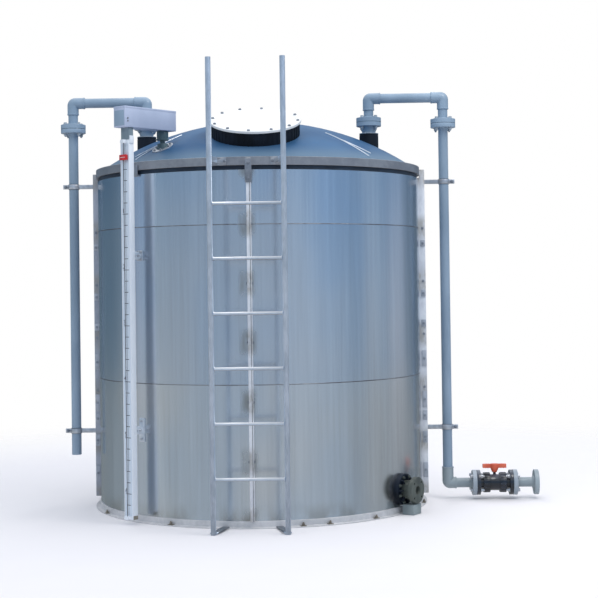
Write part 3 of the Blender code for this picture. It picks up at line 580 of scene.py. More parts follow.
def outward(azimuth):
    # level direction away from the tank; 0 is the ladder side, 90 the valve side
    turn = math.radians(azimuth)
    return Vector((math.sin(turn), -math.cos(turn), 0))


def polar(azimuth, radius=0.0, height=0.0):
    # a place whose own X points outwards, Y round the tank and Z up
    return Matrix.Rotation(math.radians(azimuth - 90), 4, "Z") @ Matrix.Translation((radius, 0, height))


def sideways(azimuth, radius, height, hand, reach):
    # a bolt's place on one side of a plate that stands outwards
    return (polar(azimuth, radius, height) @ Matrix.Translation((0, hand * reach, 0))
            @ Matrix.Rotation(-hand * math.pi / 2, 4, "X"))


def facing(direction, up=(0, 0, 1)):
    # turns a piece's own Z to the direction
    direction = Vector(direction).normalized()
    side = Vector(up).cross(direction)
    if side.length < .01:
        side = Vector((0, 1, 0)).cross(direction)
    side.normalize()
    return Matrix((side, direction.cross(side), direction)).transposed().to_4x4()


def circle(centre, axis, radius, count, start=0.0, lift=0.0, up=(0, 0, 1)):
    # places round an axis: own Z along the axis, own X away from it
    return [Matrix.Translation(centre) @ facing(axis, up) @
            Matrix.Rotation(math.radians(start + 360 * number / count), 4, "Z") @
            Matrix.Translation((radius, 0, lift)) for number in range(count)]


def scattered(name, source, places):
    # copies of one shape at each place, joined; the source goes
    copies = []
    for place in places:
        twin = source.copy()
        twin.data = source.data.copy()
        bpy.context.scene.collection.objects.link(twin)
        twin.data.transform(place)
        copies.append(twin)
    bpy.data.objects.remove(source)
    return joined(name, copies)


def insetTop(piece, thickness, depth):
    # insets the top face and lifts its middle; the piece stays in edit mode
    startEdit(piece)
    pickFaces(piece, lambda middle, normal: normal.z > .9)
    bpy.ops.mesh.inset(thickness=thickness, depth=depth)


def makeBolt(across, height, washer, washerHeight, stub=0.0, stubRadius=0.0):
    # hexagon head on a washer, its foot at the origin and its axis up
    disc = cylinder(14, washer, washerHeight, washerHeight / 2)
    insetTop(disc, washer * .12, washerHeight * .2)
    bpy.ops.object.mode_set(mode="OBJECT")
    settle(disc)
    head = cylinder(6, across / math.sqrt(3), height, washerHeight + height / 2)
    insetTop(head, across * .10, height * .16)
    if stub:
        bpy.ops.mesh.inset(thickness=max(.0005, across * .40 - stubRadius))
        bpy.ops.mesh.extrude_region_move(TRANSFORM_OT_translate={"value": (0, 0, stub)})
    bpy.ops.object.mode_set(mode="OBJECT")
    settle(head)
    return smoothed(joined("bolt", [disc, head]), 30)


def bolted(name, spots, sizes, finish="grey"):
    present(scattered(name, makeBolt(*sizes), spots), finish)


pairing = {"bolts": 4, "circle": .060, "start": 45, "gasket": .0773, "bore": .030, "thin": .0012,
           "head": (.018, .010, .0145, .002), "nut": (.018, .012, .0145, .002, .007, .005)}


def boltedPair(name, centre, axis, headLift, nutDrop, finish="bright"):
    # bolts through two flanges that meet at the centre, and the dark gasket between them
    for ending, kind, away, lift in (("_bolts", "head", 1, headLift), ("_nuts", "nut", -1, nutDrop)):
        spots = circle(centre, Vector(axis) * away, pairing["circle"], pairing["bolts"], pairing["start"], lift)
        bolted(name + ending, spots, pairing[kind], finish)
    outline = ringOutline(pairing["bore"], pairing["gasket"], -pairing["thin"], pairing["thin"])
    present(turned(name + "_gasket", outline, centre, axis, steps=48), "rubber")


# shell: four sheets round, three courses high
shell = {"radius": 1.0, "inside": .996, "softEdge": .0008, "steps": 44, "gap": .01, "smooth": 25,
         "courses": (("lower", "sheetLow"), ("middle", "sheetMiddle"), ("upper", "sheetTop")),
         "quarters": (("front_right", 0), ("back_right", 90), ("back_left", 180), ("front_left", 270))}
drainBore = {"azimuth": 58, "height": .141, "radius": .0545, "near": .9, "far": 1.1}
for course, finish in shell["courses"]:
    for quarter, begin in shell["quarters"]:
        node = f"shell_{course}_{quarter}"
        low, high = (corner.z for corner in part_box(node))
        outline = ringOutline(shell["inside"], shell["radius"], low, high, shell["softEdge"], shell["softEdge"])
        sheet = turned(f"{course}_sheet_{quarter}", outline, side=outward(begin + shell["gap"]),
                       steps=shell["steps"], sweep=90 - 2 * shell["gap"], smooth=shell["smooth"])
        if node == "shell_lower_front_right":
            cut(sheet, borer(drainBore["radius"], drainBore["near"], drainBore["far"], (0, 0, drainBore["height"]),
                             outward(drainBore["azimuth"]), (0, 0, 1)))
            smoothed(sheet, shell["smooth"])
        present(sheet, finish, standsFor=(node,))
print("shell sheets rolled")

seam = {"heights": (.796, 1.694), "inside": .9996, "outside": 1.0008, "half": .0032, "flat": .4}
half = seam["half"]
for number, height in enumerate(seam["heights"], 1):
    bead = turned(f"seam_bead_{number}", [
        (seam["inside"], height - half), (seam["outside"], height - half * seam["flat"]),
        (seam["outside"], height + half * seam["flat"]), (seam["inside"], height + half)], smooth=30)
    present(bead, "weld")

# foot angle round the shell, held down by bolts on square washers
footAngle = {"inside": 1.0003, "wall": .006, "toe": 1.030, "top": .040}
inside, wall, toe, top = footAngle.values()
foot = turned("base_angle", [
    (inside, 0), (toe - .001, 0), (toe, .001), (toe, .005), (toe - .001, wall), (inside + .0075, wall),
    (inside + wall, .0078), (inside + wall, top - .001), (inside + .005, top), (inside, top)], smooth=30)
present(foot, "base", standsFor=("base_ring",))
holdDown = {"azimuths": (-62, -27.5, 16, 25, 43, 80), "radius": 1.0185, "half": .0105, "washerTop": .0095,
            "bolt": (.014, .009, .0095, .0015, .006, .004)}
around = [azimuth + turn for turn in (0, 180) for azimuth in holdDown["azimuths"]]
half, top = holdDown["half"], holdDown["washerTop"]
washers = block("washers", (-half, -.017, .0058), (half, .017, top), .0008)
spots = [polar(azimuth, holdDown["radius"]) for azimuth in around]
present(scattered("foot_washers", washers, spots), "stained")
bolted("foot_bolts", [polar(azimuth, holdDown["radius"], top) for azimuth in around], holdDown["bolt"], "stained")

# rubber under the rim
gasket = turned("rim_rubber", [
    (.960, 2.0003), (.994, 2.0003), (.996, 2.0025), (.9945, 2.0065), (.996, 2.0105), (.9945, 2.0150),
    (.996, 2.0195), (.994, 2.0230), (.960, 2.0230)])
present(gasket, "rubber", standsFor=("rim_gasket",))

# rim angle, a bright lip along its top edge as a painted highlight, and the one clip beside the gauge
rimAngle = {"inside": .954, "outside": 1.010, "low": 2.0233, "high": 2.0703}
inside, outside, low, high = rimAngle.values()
rim = turned("rim_angle", [
    (inside, low), (outside - .001, low), (outside, low + .001), (outside, high - .001), (outside - .001, high),
    (outside - .005, high), (outside - .006, high - .001), (outside - .006, low + .0072), (outside - .0072, low + .006),
    (inside, low + .006)])
present(rim, "rim", standsFor=("top_rim",))
# the lip's bright finish paints the highlight along the rim's top edge
lip = turned("rim_lip_highlight", [(1.0052, 2.0698), (1.0096, 2.0698), (1.0098, 2.0706), (1.0086, 2.0712), (1.0058, 2.0712)])
present(lip, "bright")
rimClip = {"azimuth": -41.6, "half": .026, "low": 1.988, "high": 2.052, "near": 1.0102, "far": 1.0152, "heel": .010}
half, low, clipPlace = rimClip["half"], rimClip["low"], polar(rimClip["azimuth"])
clip = block("rim_clip", (rimClip["near"], -half, low), (rimClip["far"], half, rimClip["high"]), .0015, clipPlace)
heel = block("clip_heel", (.9998, -half, low), (1.0110, half, low + rimClip["heel"]), .0012, clipPlace)
present(joined("rim_clip", [clip, heel]), "grey")
print("base, rubber and rim turned")

# domed roof
dome = {"sphere": 1.72, "centre": .65001, "edge": 1.0034, "foot": 2.0296, "wall": .005, "rings": 16, "steps": 128}


def domeHeight(radius, offset=0.0):
    return dome["centre"] + math.sqrt((dome["sphere"] + offset) ** 2 - radius ** 2)


def onDome(azimuth, radius):
    # a place on the roof: own Z off the sheet, own X down the slope
    point = outward(azimuth) * radius + Vector((0, 0, domeHeight(radius)))
    off = (point - Vector((0, 0, dome["centre"]))).normalized()
    down = (outward(azimuth) - off * outward(azimuth).dot(off)).normalized()
    return Matrix.Translation(point) @ Matrix((down, off.cross(down), off)).transposed().to_4x4()


def domeLine(edge, offset=0.0):
    return [(edge * step / dome["rings"], domeHeight(edge * step / dome["rings"], offset))
            for step in range(dome["rings"] + 1)]


edge, inner, foot = dome["edge"], dome["edge"] - dome["wall"], dome["foot"]
roof = turned("roof_dome", domeLine(edge) + [(edge, foot), (inner, foot)] + domeLine(inner, -dome["wall"])[::-1],
              steps=dome["steps"], ring=False)
manhole = {"azimuth": 1.9, "radius": .625, "bore": .2586}
manholeFoot = outward(manhole["azimuth"]) * manhole["radius"] + Vector((0, 0, domeHeight(manhole["radius"])))
manholeAxis = (manholeFoot - Vector((0, 0, dome["centre"]))).normalized()
cut(roof, borer(manhole["bore"], -.2, .2, manholeFoot, manholeAxis, steps=64))
roofHoles = {"low": 2.0, "high": 2.5,  # each hole: radius, foot, steps
             "holes": ((.0601, (.7, 0, 0), 32), (.0601, (-.7, 0, 0), 32), (.0313, outward(-40) * .816, 24))}
for radius, spot, steps in roofHoles["holes"]:
    cut(roof, borer(radius, roofHoles["low"], roofHoles["high"], spot, steps=steps))
present(smoothed(roof, 30), "roof", standsFor=("roof",))

# welded roof joints: two bright beads at each, side by side towards the rim; their brightness is a painted highlight
joints = {"beads": ((44.0, 47.0, .62, .935), (45.5, 50.5, .74, .90)), "radius": .0042, "points": 9, "lift": .0012}
beads = []
for quarter in (1, -1):
    for turnBack in (0, 180):
        for startAt, endAt, near, far in joints["beads"]:
            corners = []
            for step in range(joints["points"]):
                share = step / (joints["points"] - 1)
                radius = near + (far - near) * share
                azimuth = (startAt + (endAt - startAt) * share) * quarter + turnBack
                corners.append(outward(azimuth) * radius + Vector((0, 0, domeHeight(radius, joints["lift"]))))
            beads.append(rod("bead", corners, joints["radius"]))
# bright beads: a painted highlight along the roof joints
present(joined("roof_beads", beads), "glint")
print("roof domed")

# manhole collar with upright ribs, and its bolted lid
collar = {"bore": .250, "outer": .258, "low": -.050, "high": .056, "ribs": 56, "ribHigh": .044, "steps": 112}
bore, outer, low, high = collar["bore"], collar["outer"], collar["low"], collar["high"]
neck = turned("manhole_collar", [
    (bore, low), (outer, low), (outer, high - .012), (outer + .002, high - .010), (outer + .002, high - .001),
    (outer + .001, high), (bore, high)], manholeFoot, manholeAxis, steps=collar["steps"], smooth=30)
present(neck, "blackResin", standsFor=("manhole_neck",))
rib = block("rib", (-.002, -.0022, low + .02), (.0022, .0022, collar["ribHigh"]), .0009)
spots = circle(manholeFoot, manholeAxis, outer, collar["ribs"], up=(1, 0, 0))
present(scattered("collar_ribs", rib, spots), "blackResin")
cover = {"reach": .268, "low": .0563, "high": .0713, "nuts": 12, "circle": .251, "start": 24,
         "nut": (.015, .006, .0100, .0012)}
reach, low, high = cover["reach"], cover["low"], cover["high"]
lid = turned("manhole_cover", [
    (0, low), (reach - .002, low), (reach, low + .0015), (reach, high - .0020), (reach - .0015, high), (.238, high),
    (.235, high - .0025), (.215, high - .0030), (0, high - .0016)],
    manholeFoot, manholeAxis, steps=collar["steps"], ring=False, smooth=30)
present(lid, "whiteResin", standsFor=("manhole_lid",))
spots = circle(manholeFoot, manholeAxis, cover["circle"], cover["nuts"], cover["start"], high - .0004, (1, 0, 0))
bolted("lid_nuts", spots, cover["nut"])

# ladder: rails with open ends, welded rungs, bolted rim plates
ladderMade = {"rail": .203, "top": 2.599, "rungs": (.3, .6, .9, 1.2, 1.5, 1.8), "inner": .1888,
              "hollow": .0035, "depth": .030, "bolt": (.013, .008, .0080, .0015, .004, .0035),
              "stayAzimuth": 8.44, "stayRadius": 1.0132, "stayHeight": 2.0468, "stayBolts": (-.017, .017)}
frameWork = copied("ladder", "ladder_frame", 40)
startEdit(frameWork)
pickFaces(frameWork, lambda middle, normal: middle.z > ladderMade["top"] and normal.z > .9)
bpy.ops.mesh.dissolve_faces()
bpy.ops.mesh.inset(thickness=ladderMade["hollow"])
bpy.ops.mesh.extrude_region_move(TRANSFORM_OT_translate={"value": (0, 0, -ladderMade["depth"])})
bpy.ops.object.mode_set(mode="OBJECT")
present(smoothed(frameWork, 40), "ladder", standsFor=("ladder",))
weldRing = turned("weld", [(.0085, 0), (.0135, 0), (.0125, .003), (.0085, .0065)], axis=(1, 0, 0), side=(0, 0, 1),
                  steps=16)
spots = [Matrix.Translation((hand * ladderMade["inner"], ladderLooks["front"], height))
         @ Matrix.Rotation(0 if hand < 0 else math.pi, 4, "Z") for height in ladderMade["rungs"] for hand in (1, -1)]
present(scattered("rung_welds", weldRing, spots), "ladder")
outwards = Matrix.Rotation(math.pi / 2, 4, "Y")
spots = [polar(hand * ladderMade["stayAzimuth"], ladderMade["stayRadius"], ladderMade["stayHeight"])
         @ Matrix.Translation((0, side, 0)) @ outwards for hand in (1, -1) for side in ladderMade["stayBolts"]]
bolted("stay_bolts", spots, ladderMade["bolt"])
gusset = {"back": -1.191, "foot": .011, "reach": .042, "rise": .034, "thick": .005}
plates = []
for hand in (1, -1):
    x, y, z = hand * ladderMade["rail"], gusset["back"], gusset["foot"]
    piece = drawLine([Vector((x, y, z)), Vector((x, y, z + gusset["rise"])),
                      Vector((x - hand * .006, y + gusset["reach"], z))])
    bpy.ops.mesh.select_all(action="SELECT")
    bpy.ops.mesh.edge_face_add()
    bpy.ops.mesh.extrude_region_move(TRANSFORM_OT_translate={"value": (-hand * gusset["thick"], 0, 0)})
    plates.append(settle(cleaned(piece)))
present(joined("foot_gussets", plates), "bright")
print("manhole and ladder made")

# upright joints: a pair of flanges each, a dark joint between and bolts right through; clamp plates on all but the
# front joint, which has a lug at its top
flange = {"half": .0125, "reach": 1.043, "groove": .0030, "grooveSide": .0062, "deep": .008, "bolts": 5,
          "boltRadius": 1.0265, "bolt": (.012, .005, .0080, .0012), "plate": .007, "plateReach": (1.012, 1.0405),
          "sealReach": (1.0345, 1.0395), "sealHalf": .0016, "sealHeight": (.0420, 2.0600)}
clampPlates = ((1.600, .020), (1.288, .022), (1.100, .022), (.880, .050), (.625, .052), (.525, .030), (.390, .036),
               (.185, .046))
spots = []
clamps = []
half, side, boltRadius = flange["half"], flange["grooveSide"], flange["boltRadius"]
for name, azimuth in (("front", 0), ("right", 90), ("back", 180), ("left", 270)):
    bar = copied(f"joint_strip_{name}", f"joint_flange_{name}", 35, .0012)
    slot = block("slot", (flange["reach"] - flange["deep"], side - flange["groove"] / 2, 0),
                 (1.1, side + flange["groove"] / 2, 2.2), .0002, polar(azimuth), 1)
    # the back and left flanges take the darker copy, which paints their shade
    present(smoothed(cut(bar, slot)), "strip" if azimuth < 100 else "stripPaintedShade",
            standsFor=(f"joint_strip_{name}",))
    near, far = flange["sealReach"]
    low, high = flange["sealHeight"]
    seal = block(f"joint_seal_{name}", (near, side - flange["sealHalf"], low), (far, side + flange["sealHalf"], high),
                 .0005, polar(azimuth))
    present(seal, "rubber")
    for hand in (1, -1):
        spots += [sideways(azimuth, boltRadius, sheetLooks["boltFoot"] + sheetLooks["boltStep"] * number, hand,
                           half + .0002) for number in range(1, flange["bolts"] + 1)]
        for height, tall in clampPlates if azimuth else ():
            near, far = flange["plateReach"]
            left, right = sorted((hand * half, hand * (half + flange["plate"])))
            clamps.append(block("clamp", (near, left, height - tall), (far, right, height + tall), .0015,
                                polar(azimuth)))
            spots.append(sideways(azimuth, boltRadius, height, hand, half + flange["plate"] + .0002))
bolted("joint_bolts", spots, flange["bolt"])
present(joined("joint_clamps", clamps), "pale")
lugShape = {"half": .019, "low": 1.924, "high": 2.058, "near": 1.0432, "far": 1.0492, "bolts": (1.948, 2.034),
            "bolt": (.014, .007, .010, .0015, .003, .004)}
lug = block("lug", (lugShape["near"], -lugShape["half"], lugShape["low"]),
            (lugShape["far"], lugShape["half"], lugShape["high"]), .002)
present(scattered("joint_lug", lug, [polar(0)]), "grey")
bolted("lug_bolts", [polar(0, lugShape["far"], height) @ outwards for height in lugShape["bolts"]], lugShape["bolt"])
print("joint flanges bolted")

# gauge board: frame, scale face, ticks, numbers, centre line
gauge = {"azimuth": -40, "face": 1.110, "zero": 2.085, "step": .06366, "ticks": 32, "tickHalf": .0017,
         "longTick": .0235, "shortTick": .0165, "numbers": 6, "numberSide": -.0185, "numberRise": .018,
         "digitSize": .036, "barSides": (-.0330, .0330), "barHalf": .0024, "barLow": .034, "barHigh": 2.188}
gaugeBlocks = {  # two corners and the rounding
    "face": ((-.0305, .052, -.0002), (.0305, 2.170, .0007), .0003),
    "centre": ((-.0011, .054, .0005), (.0011, 2.168, .0010), .0002),
    "foot": ((1.0740, .0205, .0300), (1.1085, .0362, .0520), .001),
    "line": ((1.1288, -.020, 2.0888), (1.1298, .020, 2.0912), .0003),
    "angle": ((1.078, .0300, 2.170), (1.106, .0420, 2.214), .001),
}
gaugeSide = outward(gauge["azimuth"])
boardFrame = polar(gauge["azimuth"])
facingOut = Matrix.Translation(gaugeSide * gauge["face"]) @ facing(gaugeSide)
dressed("gauge_board", "board_channel", "board", .0012)
present(block("scale_face", *gaugeBlocks["face"], facingOut, 1), "scaleFace")
half, low, high = gauge["barHalf"], gauge["barLow"], gauge["barHigh"]
frameBars = [block("bar", (side - half, low, -.0004), (side + half, high, .0024), .0006, facingOut)
             for side in gauge["barSides"]]
present(joined("board_frame", frameBars), "board")
marks = []
for number in range(gauge["ticks"]):
    middle = gauge["zero"] - number * gauge["step"]
    reach = gauge["shortTick"] if number % 5 else gauge["longTick"]
    marks.append(block("tick", (-reach, middle - gauge["tickHalf"], .0005), (reach, middle + gauge["tickHalf"], .0011),
                       .0002, facingOut, 1))
marks.append(block("centre", *gaugeBlocks["centre"], facingOut, 1))
present(joined("scale_ticks", marks), "ink")
signs = []
for number in range(1, gauge["numbers"] + 1):
    clearSelection()
    bpy.ops.object.text_add()
    sign = bpy.context.object
    sign.data.body = str(number)
    sign.data.size = gauge["digitSize"]
    sign.data.extrude = .0004
    sign.data.align_x = "CENTER"
    sign.data.align_y = "CENTER"
    bpy.ops.object.convert(target="MESH")
    sign = bpy.context.object
    startEdit(sign, "VERT")
    cleaned(sign, .00001)
    height = gauge["zero"] - number * 5 * gauge["step"] + gauge["numberRise"]
    sign.data.transform(facingOut @ Matrix.Translation((gauge["numberSide"], height, .0009)))
    signs.append(sign)
present(joined("scale_numbers", signs), "ink")
present(block("board_foot", *gaugeBlocks["foot"], boardFrame), "stained")
dressed("guide_wire", "gauge_wire", "dark")
dressed("level_pointer", "red_pointer", "pointer", .0018, body="pointer")
present(block("pointer_line", *gaugeBlocks["line"], boardFrame, 1), "whiteResin", "pointer")

# the two brackets that hold the board
brackets = {"upper": (1.530, (-.021, .021), .0125), "lower": (.530, (-.052, .052), .0)}
bracketBolts = {"shell": 1.0063, "arm": (1.030, 1.058), "reach": .010, "bolt": (.013, .007, .0080, .0015, .004, .0035)}
spots = []
for name, (height, lifts, side) in brackets.items():
    dressed(f"gauge_bracket_{name}", f"bracket_{name}", "glint", .0015)
    spots += [polar(gauge["azimuth"], bracketBolts["shell"], height + lift)
              @ Matrix.Translation((0, hand * side, 0)) @ outwards
              for lift in lifts for hand in ((1, -1) if side else (1,))]
    spots += [sideways(gauge["azimuth"], radius, height, 1, bracketBolts["reach"]) for radius in bracketBolts["arm"]]
bolted("bracket_bolts", spots, bracketBolts["bolt"], "bright")

# leg, box and float pipe on top
# the leg, the board's channel, is grey as a painted shadow of the box
dressed("gauge_leg", "case_leg", "legShadowGrey", .002)
present(block("leg_angle", *gaugeBlocks["angle"], boardFrame), "board")
case = {"near": .750, "far": 1.150, "half": .0475, "low": 2.261, "high": 2.379, "proud": .0007,
        "screws": (.034, .050), "screwRadius": 1.128, "screw": (.008, .004, .0055, .001)}
near, far, half, low, high, proud = (case[key] for key in ("near", "far", "half", "low", "high", "proud"))
dressed("gauge_box", "case_box", "gaugeGrey", .003)
capping = block("case_lid", (near - proud, -half - proud, high - .012), (far + proud, half + proud, high + .0012),
                .002, boardFrame)
# a darker plate over the box's outer end paints the shade on that face
endShadePlate = block("case_end_shade", (far - .001, -half + .006, low + .008), (far + .0016, half - .006, high - .022),
                 .0008, boardFrame)
present(capping, "gaugeGrey")
present(endShadePlate, "pipe")
spots = [sideways(gauge["azimuth"], case["screwRadius"], low + rise, hand, half + .0002)
         for hand in (1, -1) for rise in case["screws"]]
bolted("case_screws", spots, case["screw"])
floatMade = {"radius": .816, "bore": .0162, "pad": .064, "padBore": .0330, "bolts": 6, "circle": .051, "start": 30,
             "top": .0042, "bolt": (.012, .006, .0085, .0012)}
dressed("float_pipe", "float_tube", "tealCase", .0015)
pipeFoot = gaugeSide * floatMade["radius"]
nut = turned("float_nut", ringOutline(floatMade["bore"], .0372, 2.128, 2.166, .0022, .003), pipeFoot,
             steps=6, smooth=20)
present(nut, "tealCase")
ring = turned("float_head_ring", ringOutline(floatMade["bore"], .0366, 2.206, 2.216, .0014, .0018), pipeFoot, steps=32)
present(ring, "tealCase")
bore, reach, top = floatMade["padBore"], floatMade["pad"], floatMade["top"]
pad = turned("float_pad", [(bore, -.001), (reach, -.001), (reach, top - .0012), (reach - .0012, top), (bore, top)],
             steps=48)
padPlace = onDome(gauge["azimuth"], floatMade["radius"])
pad.data.transform(padPlace)
present(pad, "bright")
spots = [padPlace @ place for place in circle((0, 0, 0), (0, 0, 1), floatMade["circle"], floatMade["bolts"],
                                              floatMade["start"], top - .0002)]
bolted("pad_bolts", spots, floatMade["bolt"])
print("level gauge made")

# roof nozzles: black sleeve, pale ring, grey cone with its flange
nozzle = {"place": .7, "bore": .0255, "sleeve": .0595, "sleeveLow": 2.1201, "sleeveHigh": 2.2900, "ringHigh": 2.2950,
          "coneLow": .040, "coneHigh": .052, "flange": .0775, "flangeLow": 2.338, "flangeHigh": 2.3651}
bore, sleeve, low, high = nozzle["bore"], nozzle["sleeve"], nozzle["sleeveLow"], nozzle["sleeveHigh"]
reach, under, over = nozzle["flange"], nozzle["flangeLow"], nozzle["flangeHigh"]
ringHigh, coneHigh = nozzle["ringHigh"], nozzle["coneHigh"]
for name, hand in (("left", -1), ("right", 1)):
    spot = (hand * nozzle["place"], 0, 0)
    tube = turned(f"nozzle_sleeve_{name}", [
        (bore, low), (sleeve - .001, low), (sleeve, low + .001), (sleeve, high - .012), (sleeve - .0015, high - .011),
        (sleeve - .0015, high - .009), (sleeve, high - .008), (sleeve, high - .002), (sleeve - .002, high),
        (bore, high)], spot, steps=48)
    present(tube, "blackResin", standsFor=(f"roof_nozzle_{name}",))
    band = turned(f"nozzle_ring_{name}", ringOutline(bore, sleeve + .0005, high, ringHigh, .0015, .0015), spot,
                  steps=48)
    present(band, "lightPipe")
    cone = turned(f"nozzle_cone_{name}", [
        (bore, ringHigh), (nozzle["coneLow"], ringHigh), (coneHigh - .001, under - .010), (coneHigh, under - .008),
        (coneHigh, under), (reach - .0015, under), (reach, under + .0015), (reach, over - .0012),
        (reach - .0012, over), (bore, over)], spot, steps=56)
    present(cone, "pipe")

# resin pipework: tight moulded elbows with socket lips, flanges with hubs, every flange pair bolted
pipework = {"outer": 1.165, "run": 2.5134, "split": 1.0894, "nozzleJoint": 2.36525, "bendJoint": 2.35025,
            "thick": .0272, "bore": .0255, "radius": .030, "flange": .0775, "hub": .038, "hubRise": .010,
            "inFlange": .03, "inElbow": .05, "low": .100, "lowFlange": 1.3425}
elbowMade = {"radius": .0350, "bend": .013, "reaches": (.074, .074), "lowReaches": (.099, .052), "lip": .0366,
             "lipWidth": .007, "sides": 32}


def pipeBetween(start, end):
    outline = ringOutline(pipework["bore"], pipework["radius"], 0, (end - start).length)
    return turned("pipe", outline, start, end - start, (0, 1, 0), 40)


def flangeAt(centre, axis):
    bore, reach, thick, hub = pipework["bore"], pipework["flange"], pipework["thick"], pipework["hub"]
    return turned("flange", [
        (bore, .0002), (reach - .0014, .0002), (reach, .0016), (reach, thick - .0016), (reach - .0014, thick),
        (hub + .002, thick), (hub, thick + .002), (hub - .001, thick + pipework["hubRise"]),
        (bore, thick + pipework["hubRise"])], centre, axis, (0, 1, 0), 56)


def elbowAt(corner, first, second, reaches=elbowMade["reaches"]):
    # round bar bent tightly at the corner, with a lip at each mouth
    bend, lip, wide = elbowMade["bend"], elbowMade["lip"], elbowMade["lipWidth"]
    centre = corner + (first + second) * bend
    points = [corner + first * reaches[0]]
    for turn in range(0, 91, 15):
        turn = math.radians(turn)
        points.append(centre - second * bend * math.cos(turn) - first * bend * math.sin(turn))
    points.append(corner + second * reaches[1])
    pieces = [rod("elbow", points, elbowMade["radius"], elbowMade["sides"])]
    inner = pipework["radius"]
    outline = [(inner, 0), (lip - .0010, 0), (lip, .001), (lip, wide - .0012), (lip - .0016, wide + .0004),
               (inner, wide + .0004)]
    for arm, reach in ((first, reaches[0]), (second, reaches[1])):
        pieces.append(turned("lip", outline, corner + arm * (reach - wide), arm, (0, 1, 0), 40))
    return pieces


down, up, axle = Vector((0, 0, -1)), Vector((0, 0, 1)), Vector((1, 0, 0))
thick, inFlange, inElbow = pipework["thick"], pipework["inFlange"], pipework["inElbow"]
for name, hand, prefix in (("left", -1, "vent"), ("right", 1, "fill")):
    away = Vector((hand, 0, 0))
    inner = Vector((hand * nozzle["place"], 0, pipework["run"]))
    outer = Vector((hand * pipework["outer"], 0, pipework["run"]))
    split = Vector((hand * pipework["split"], 0, pipework["run"]))
    innerJoint = Vector((inner.x, 0, pipework["nozzleJoint"]))
    outerJoint = Vector((outer.x, 0, pipework["bendJoint"]))
    for part, corner, joint, arms, run in (
        ("crossover", inner, innerJoint, (down, away), (inner + away * inElbow, split)),
        ("bend", outer, outerJoint, (away * -1, down), (split, outer - away * inElbow)),
    ):
        pieces = elbowAt(corner, *arms) + [
            flangeAt(joint, up), pipeBetween(joint + up * inFlange, corner + down * inElbow), pipeBetween(*run)]
        present(joined(f"{prefix}_{part}_pipe", pieces), "pipe", standsFor=(f"{prefix}_{part}",))
    dressed(f"{prefix}_downpipe", f"{prefix}_downpipe_dressed", "pipe", .0014)
    boltedPair(f"nozzle_joint_{name}", innerJoint, up, thick, thick, "lightPipe")
    boltedPair(f"bend_joint_{name}", outerJoint, up, thick, thick, "lightPipe")
foot = Vector((pipework["outer"], 0, pipework["low"]))
flangeFoot = Vector((pipework["lowFlange"], 0, pipework["low"]))
lowElbow = elbowAt(foot, up, axle, elbowMade["lowReaches"]) + [
    flangeAt(flangeFoot, axle * -1), pipeBetween(foot + axle * .04, flangeFoot - axle * inFlange)]
present(joined("fill_elbow_pipe", lowElbow), "inletPipe", standsFor=("fill_elbow",))
mouthLine = turned("socket_line", [(.0298, -.001), (.0368, -.001), (.0374, .0008), (.0368, .0028), (.0298, .0028)],
                   (pipework["outer"], 0, .1978), up, steps=40)
present(mouthLine, "lightPipe")
print("pipework made")

# pipe clamps with their bolts
clampMade = {"heights": (("lower", .450), ("upper", 1.985)), "ear": 1.2163, "half": .006, "linerHalf": .017,
             "bolt": (.015, .008, .0105, .0015, .005, .004)}
spots = []
for hand, name in ((-1, "left"), (1, "right")):
    for level, height in clampMade["heights"]:
        dressed(f"pipe_clamp_{name}_{level}", f"clamp_{name}_{level}", "bright", .0012)
        spots += [Matrix.Translation((hand * clampMade["ear"], side * clampMade["half"], height))
                  @ Matrix.Rotation(-side * math.pi / 2, 4, "X") for side in (1, -1)]
bolted("clamp_bolts", spots, clampMade["bolt"])
outline = ringOutline(.0301, .0322, -clampMade["linerHalf"], clampMade["linerHalf"])
liners = [turned("liner", outline, (hand * pipework["outer"], 0, height), steps=40)
          for hand in (-1, 1) for level, height in clampMade["heights"]]
present(joined("clamp_liners", liners), "rubber")

# ball valve with ribbed nuts, pale flanges each side
valve = {"height": .100, "left": 1.34265, "right": 1.56795, "nuts": ((1.3838, 1.4258), (1.4848, 1.5268)),
         "nutRadius": .0595, "ribs": 16, "firstRib": 5, "stem": 1.4553, "nutDrop": .0222, "spoolFlange": 1.713,
         "paleRings": (1.3161, 1.5687), "ringWidth": .0255, "spoolHole": (.0095, .06),
         "gripPlaces": (.036, .046, .056), "gripHalf": (.0022, .0118), "gripLow": .1885, "gripHigh": .2158}
valveFoot = (0, 0, valve["height"])
dressed("valve_body", "valve_casting", "valve", .0012)
ribs = []
for low, high in valve["nuts"]:
    rib = block("rib", (-.002, -.0042, low + .003), (.0028, .0042, high - .003), .0014)
    spots = circle(valveFoot, axle, valve["nutRadius"], valve["ribs"], valve["firstRib"])
    ribs.append(scattered("ribs", rib, spots))
    for middle in (low + .0015, high - .0015):
        outline = [(.0590, middle - .0013), (.0606, middle - .0010), (.0606, middle + .0010), (.0590, middle + .0013)]
        ribs.append(turned("hoop", outline, valveFoot, axle, (0, 0, 1), 48))
present(joined("valve_ribs", ribs), "valve")
boltedPair("elbow_joint", (valve["left"], 0, valve["height"]), axle * -1, thick, valve["nutDrop"])
boltedPair("spool_joint", (valve["right"], 0, valve["height"]), axle, thick, valve["nutDrop"])
spool = copied("inlet_spool", "inlet_spool_pipe", 35, .0014)
drilled(spool, circle((valve["spoolFlange"], 0, valve["height"]), axle, pairing["circle"], pairing["bolts"],
                      pairing["start"]), *valve["spoolHole"])
present(spool, "inletPipe", standsFor=("inlet_spool",))
paleRings = [turned("pale", ringOutline(.0560, .0781, place, place + valve["ringWidth"], .0009, .001),
                    valveFoot, axle, (0, 0, 1), 56) for place in valve["paleRings"]]
present(joined("pale_flange_rings", paleRings), "lightPipe")
dressed("valve_handle", "turning_handle", "handle", .0035, body="handle")
grips = []
half, reach = valve["gripHalf"]
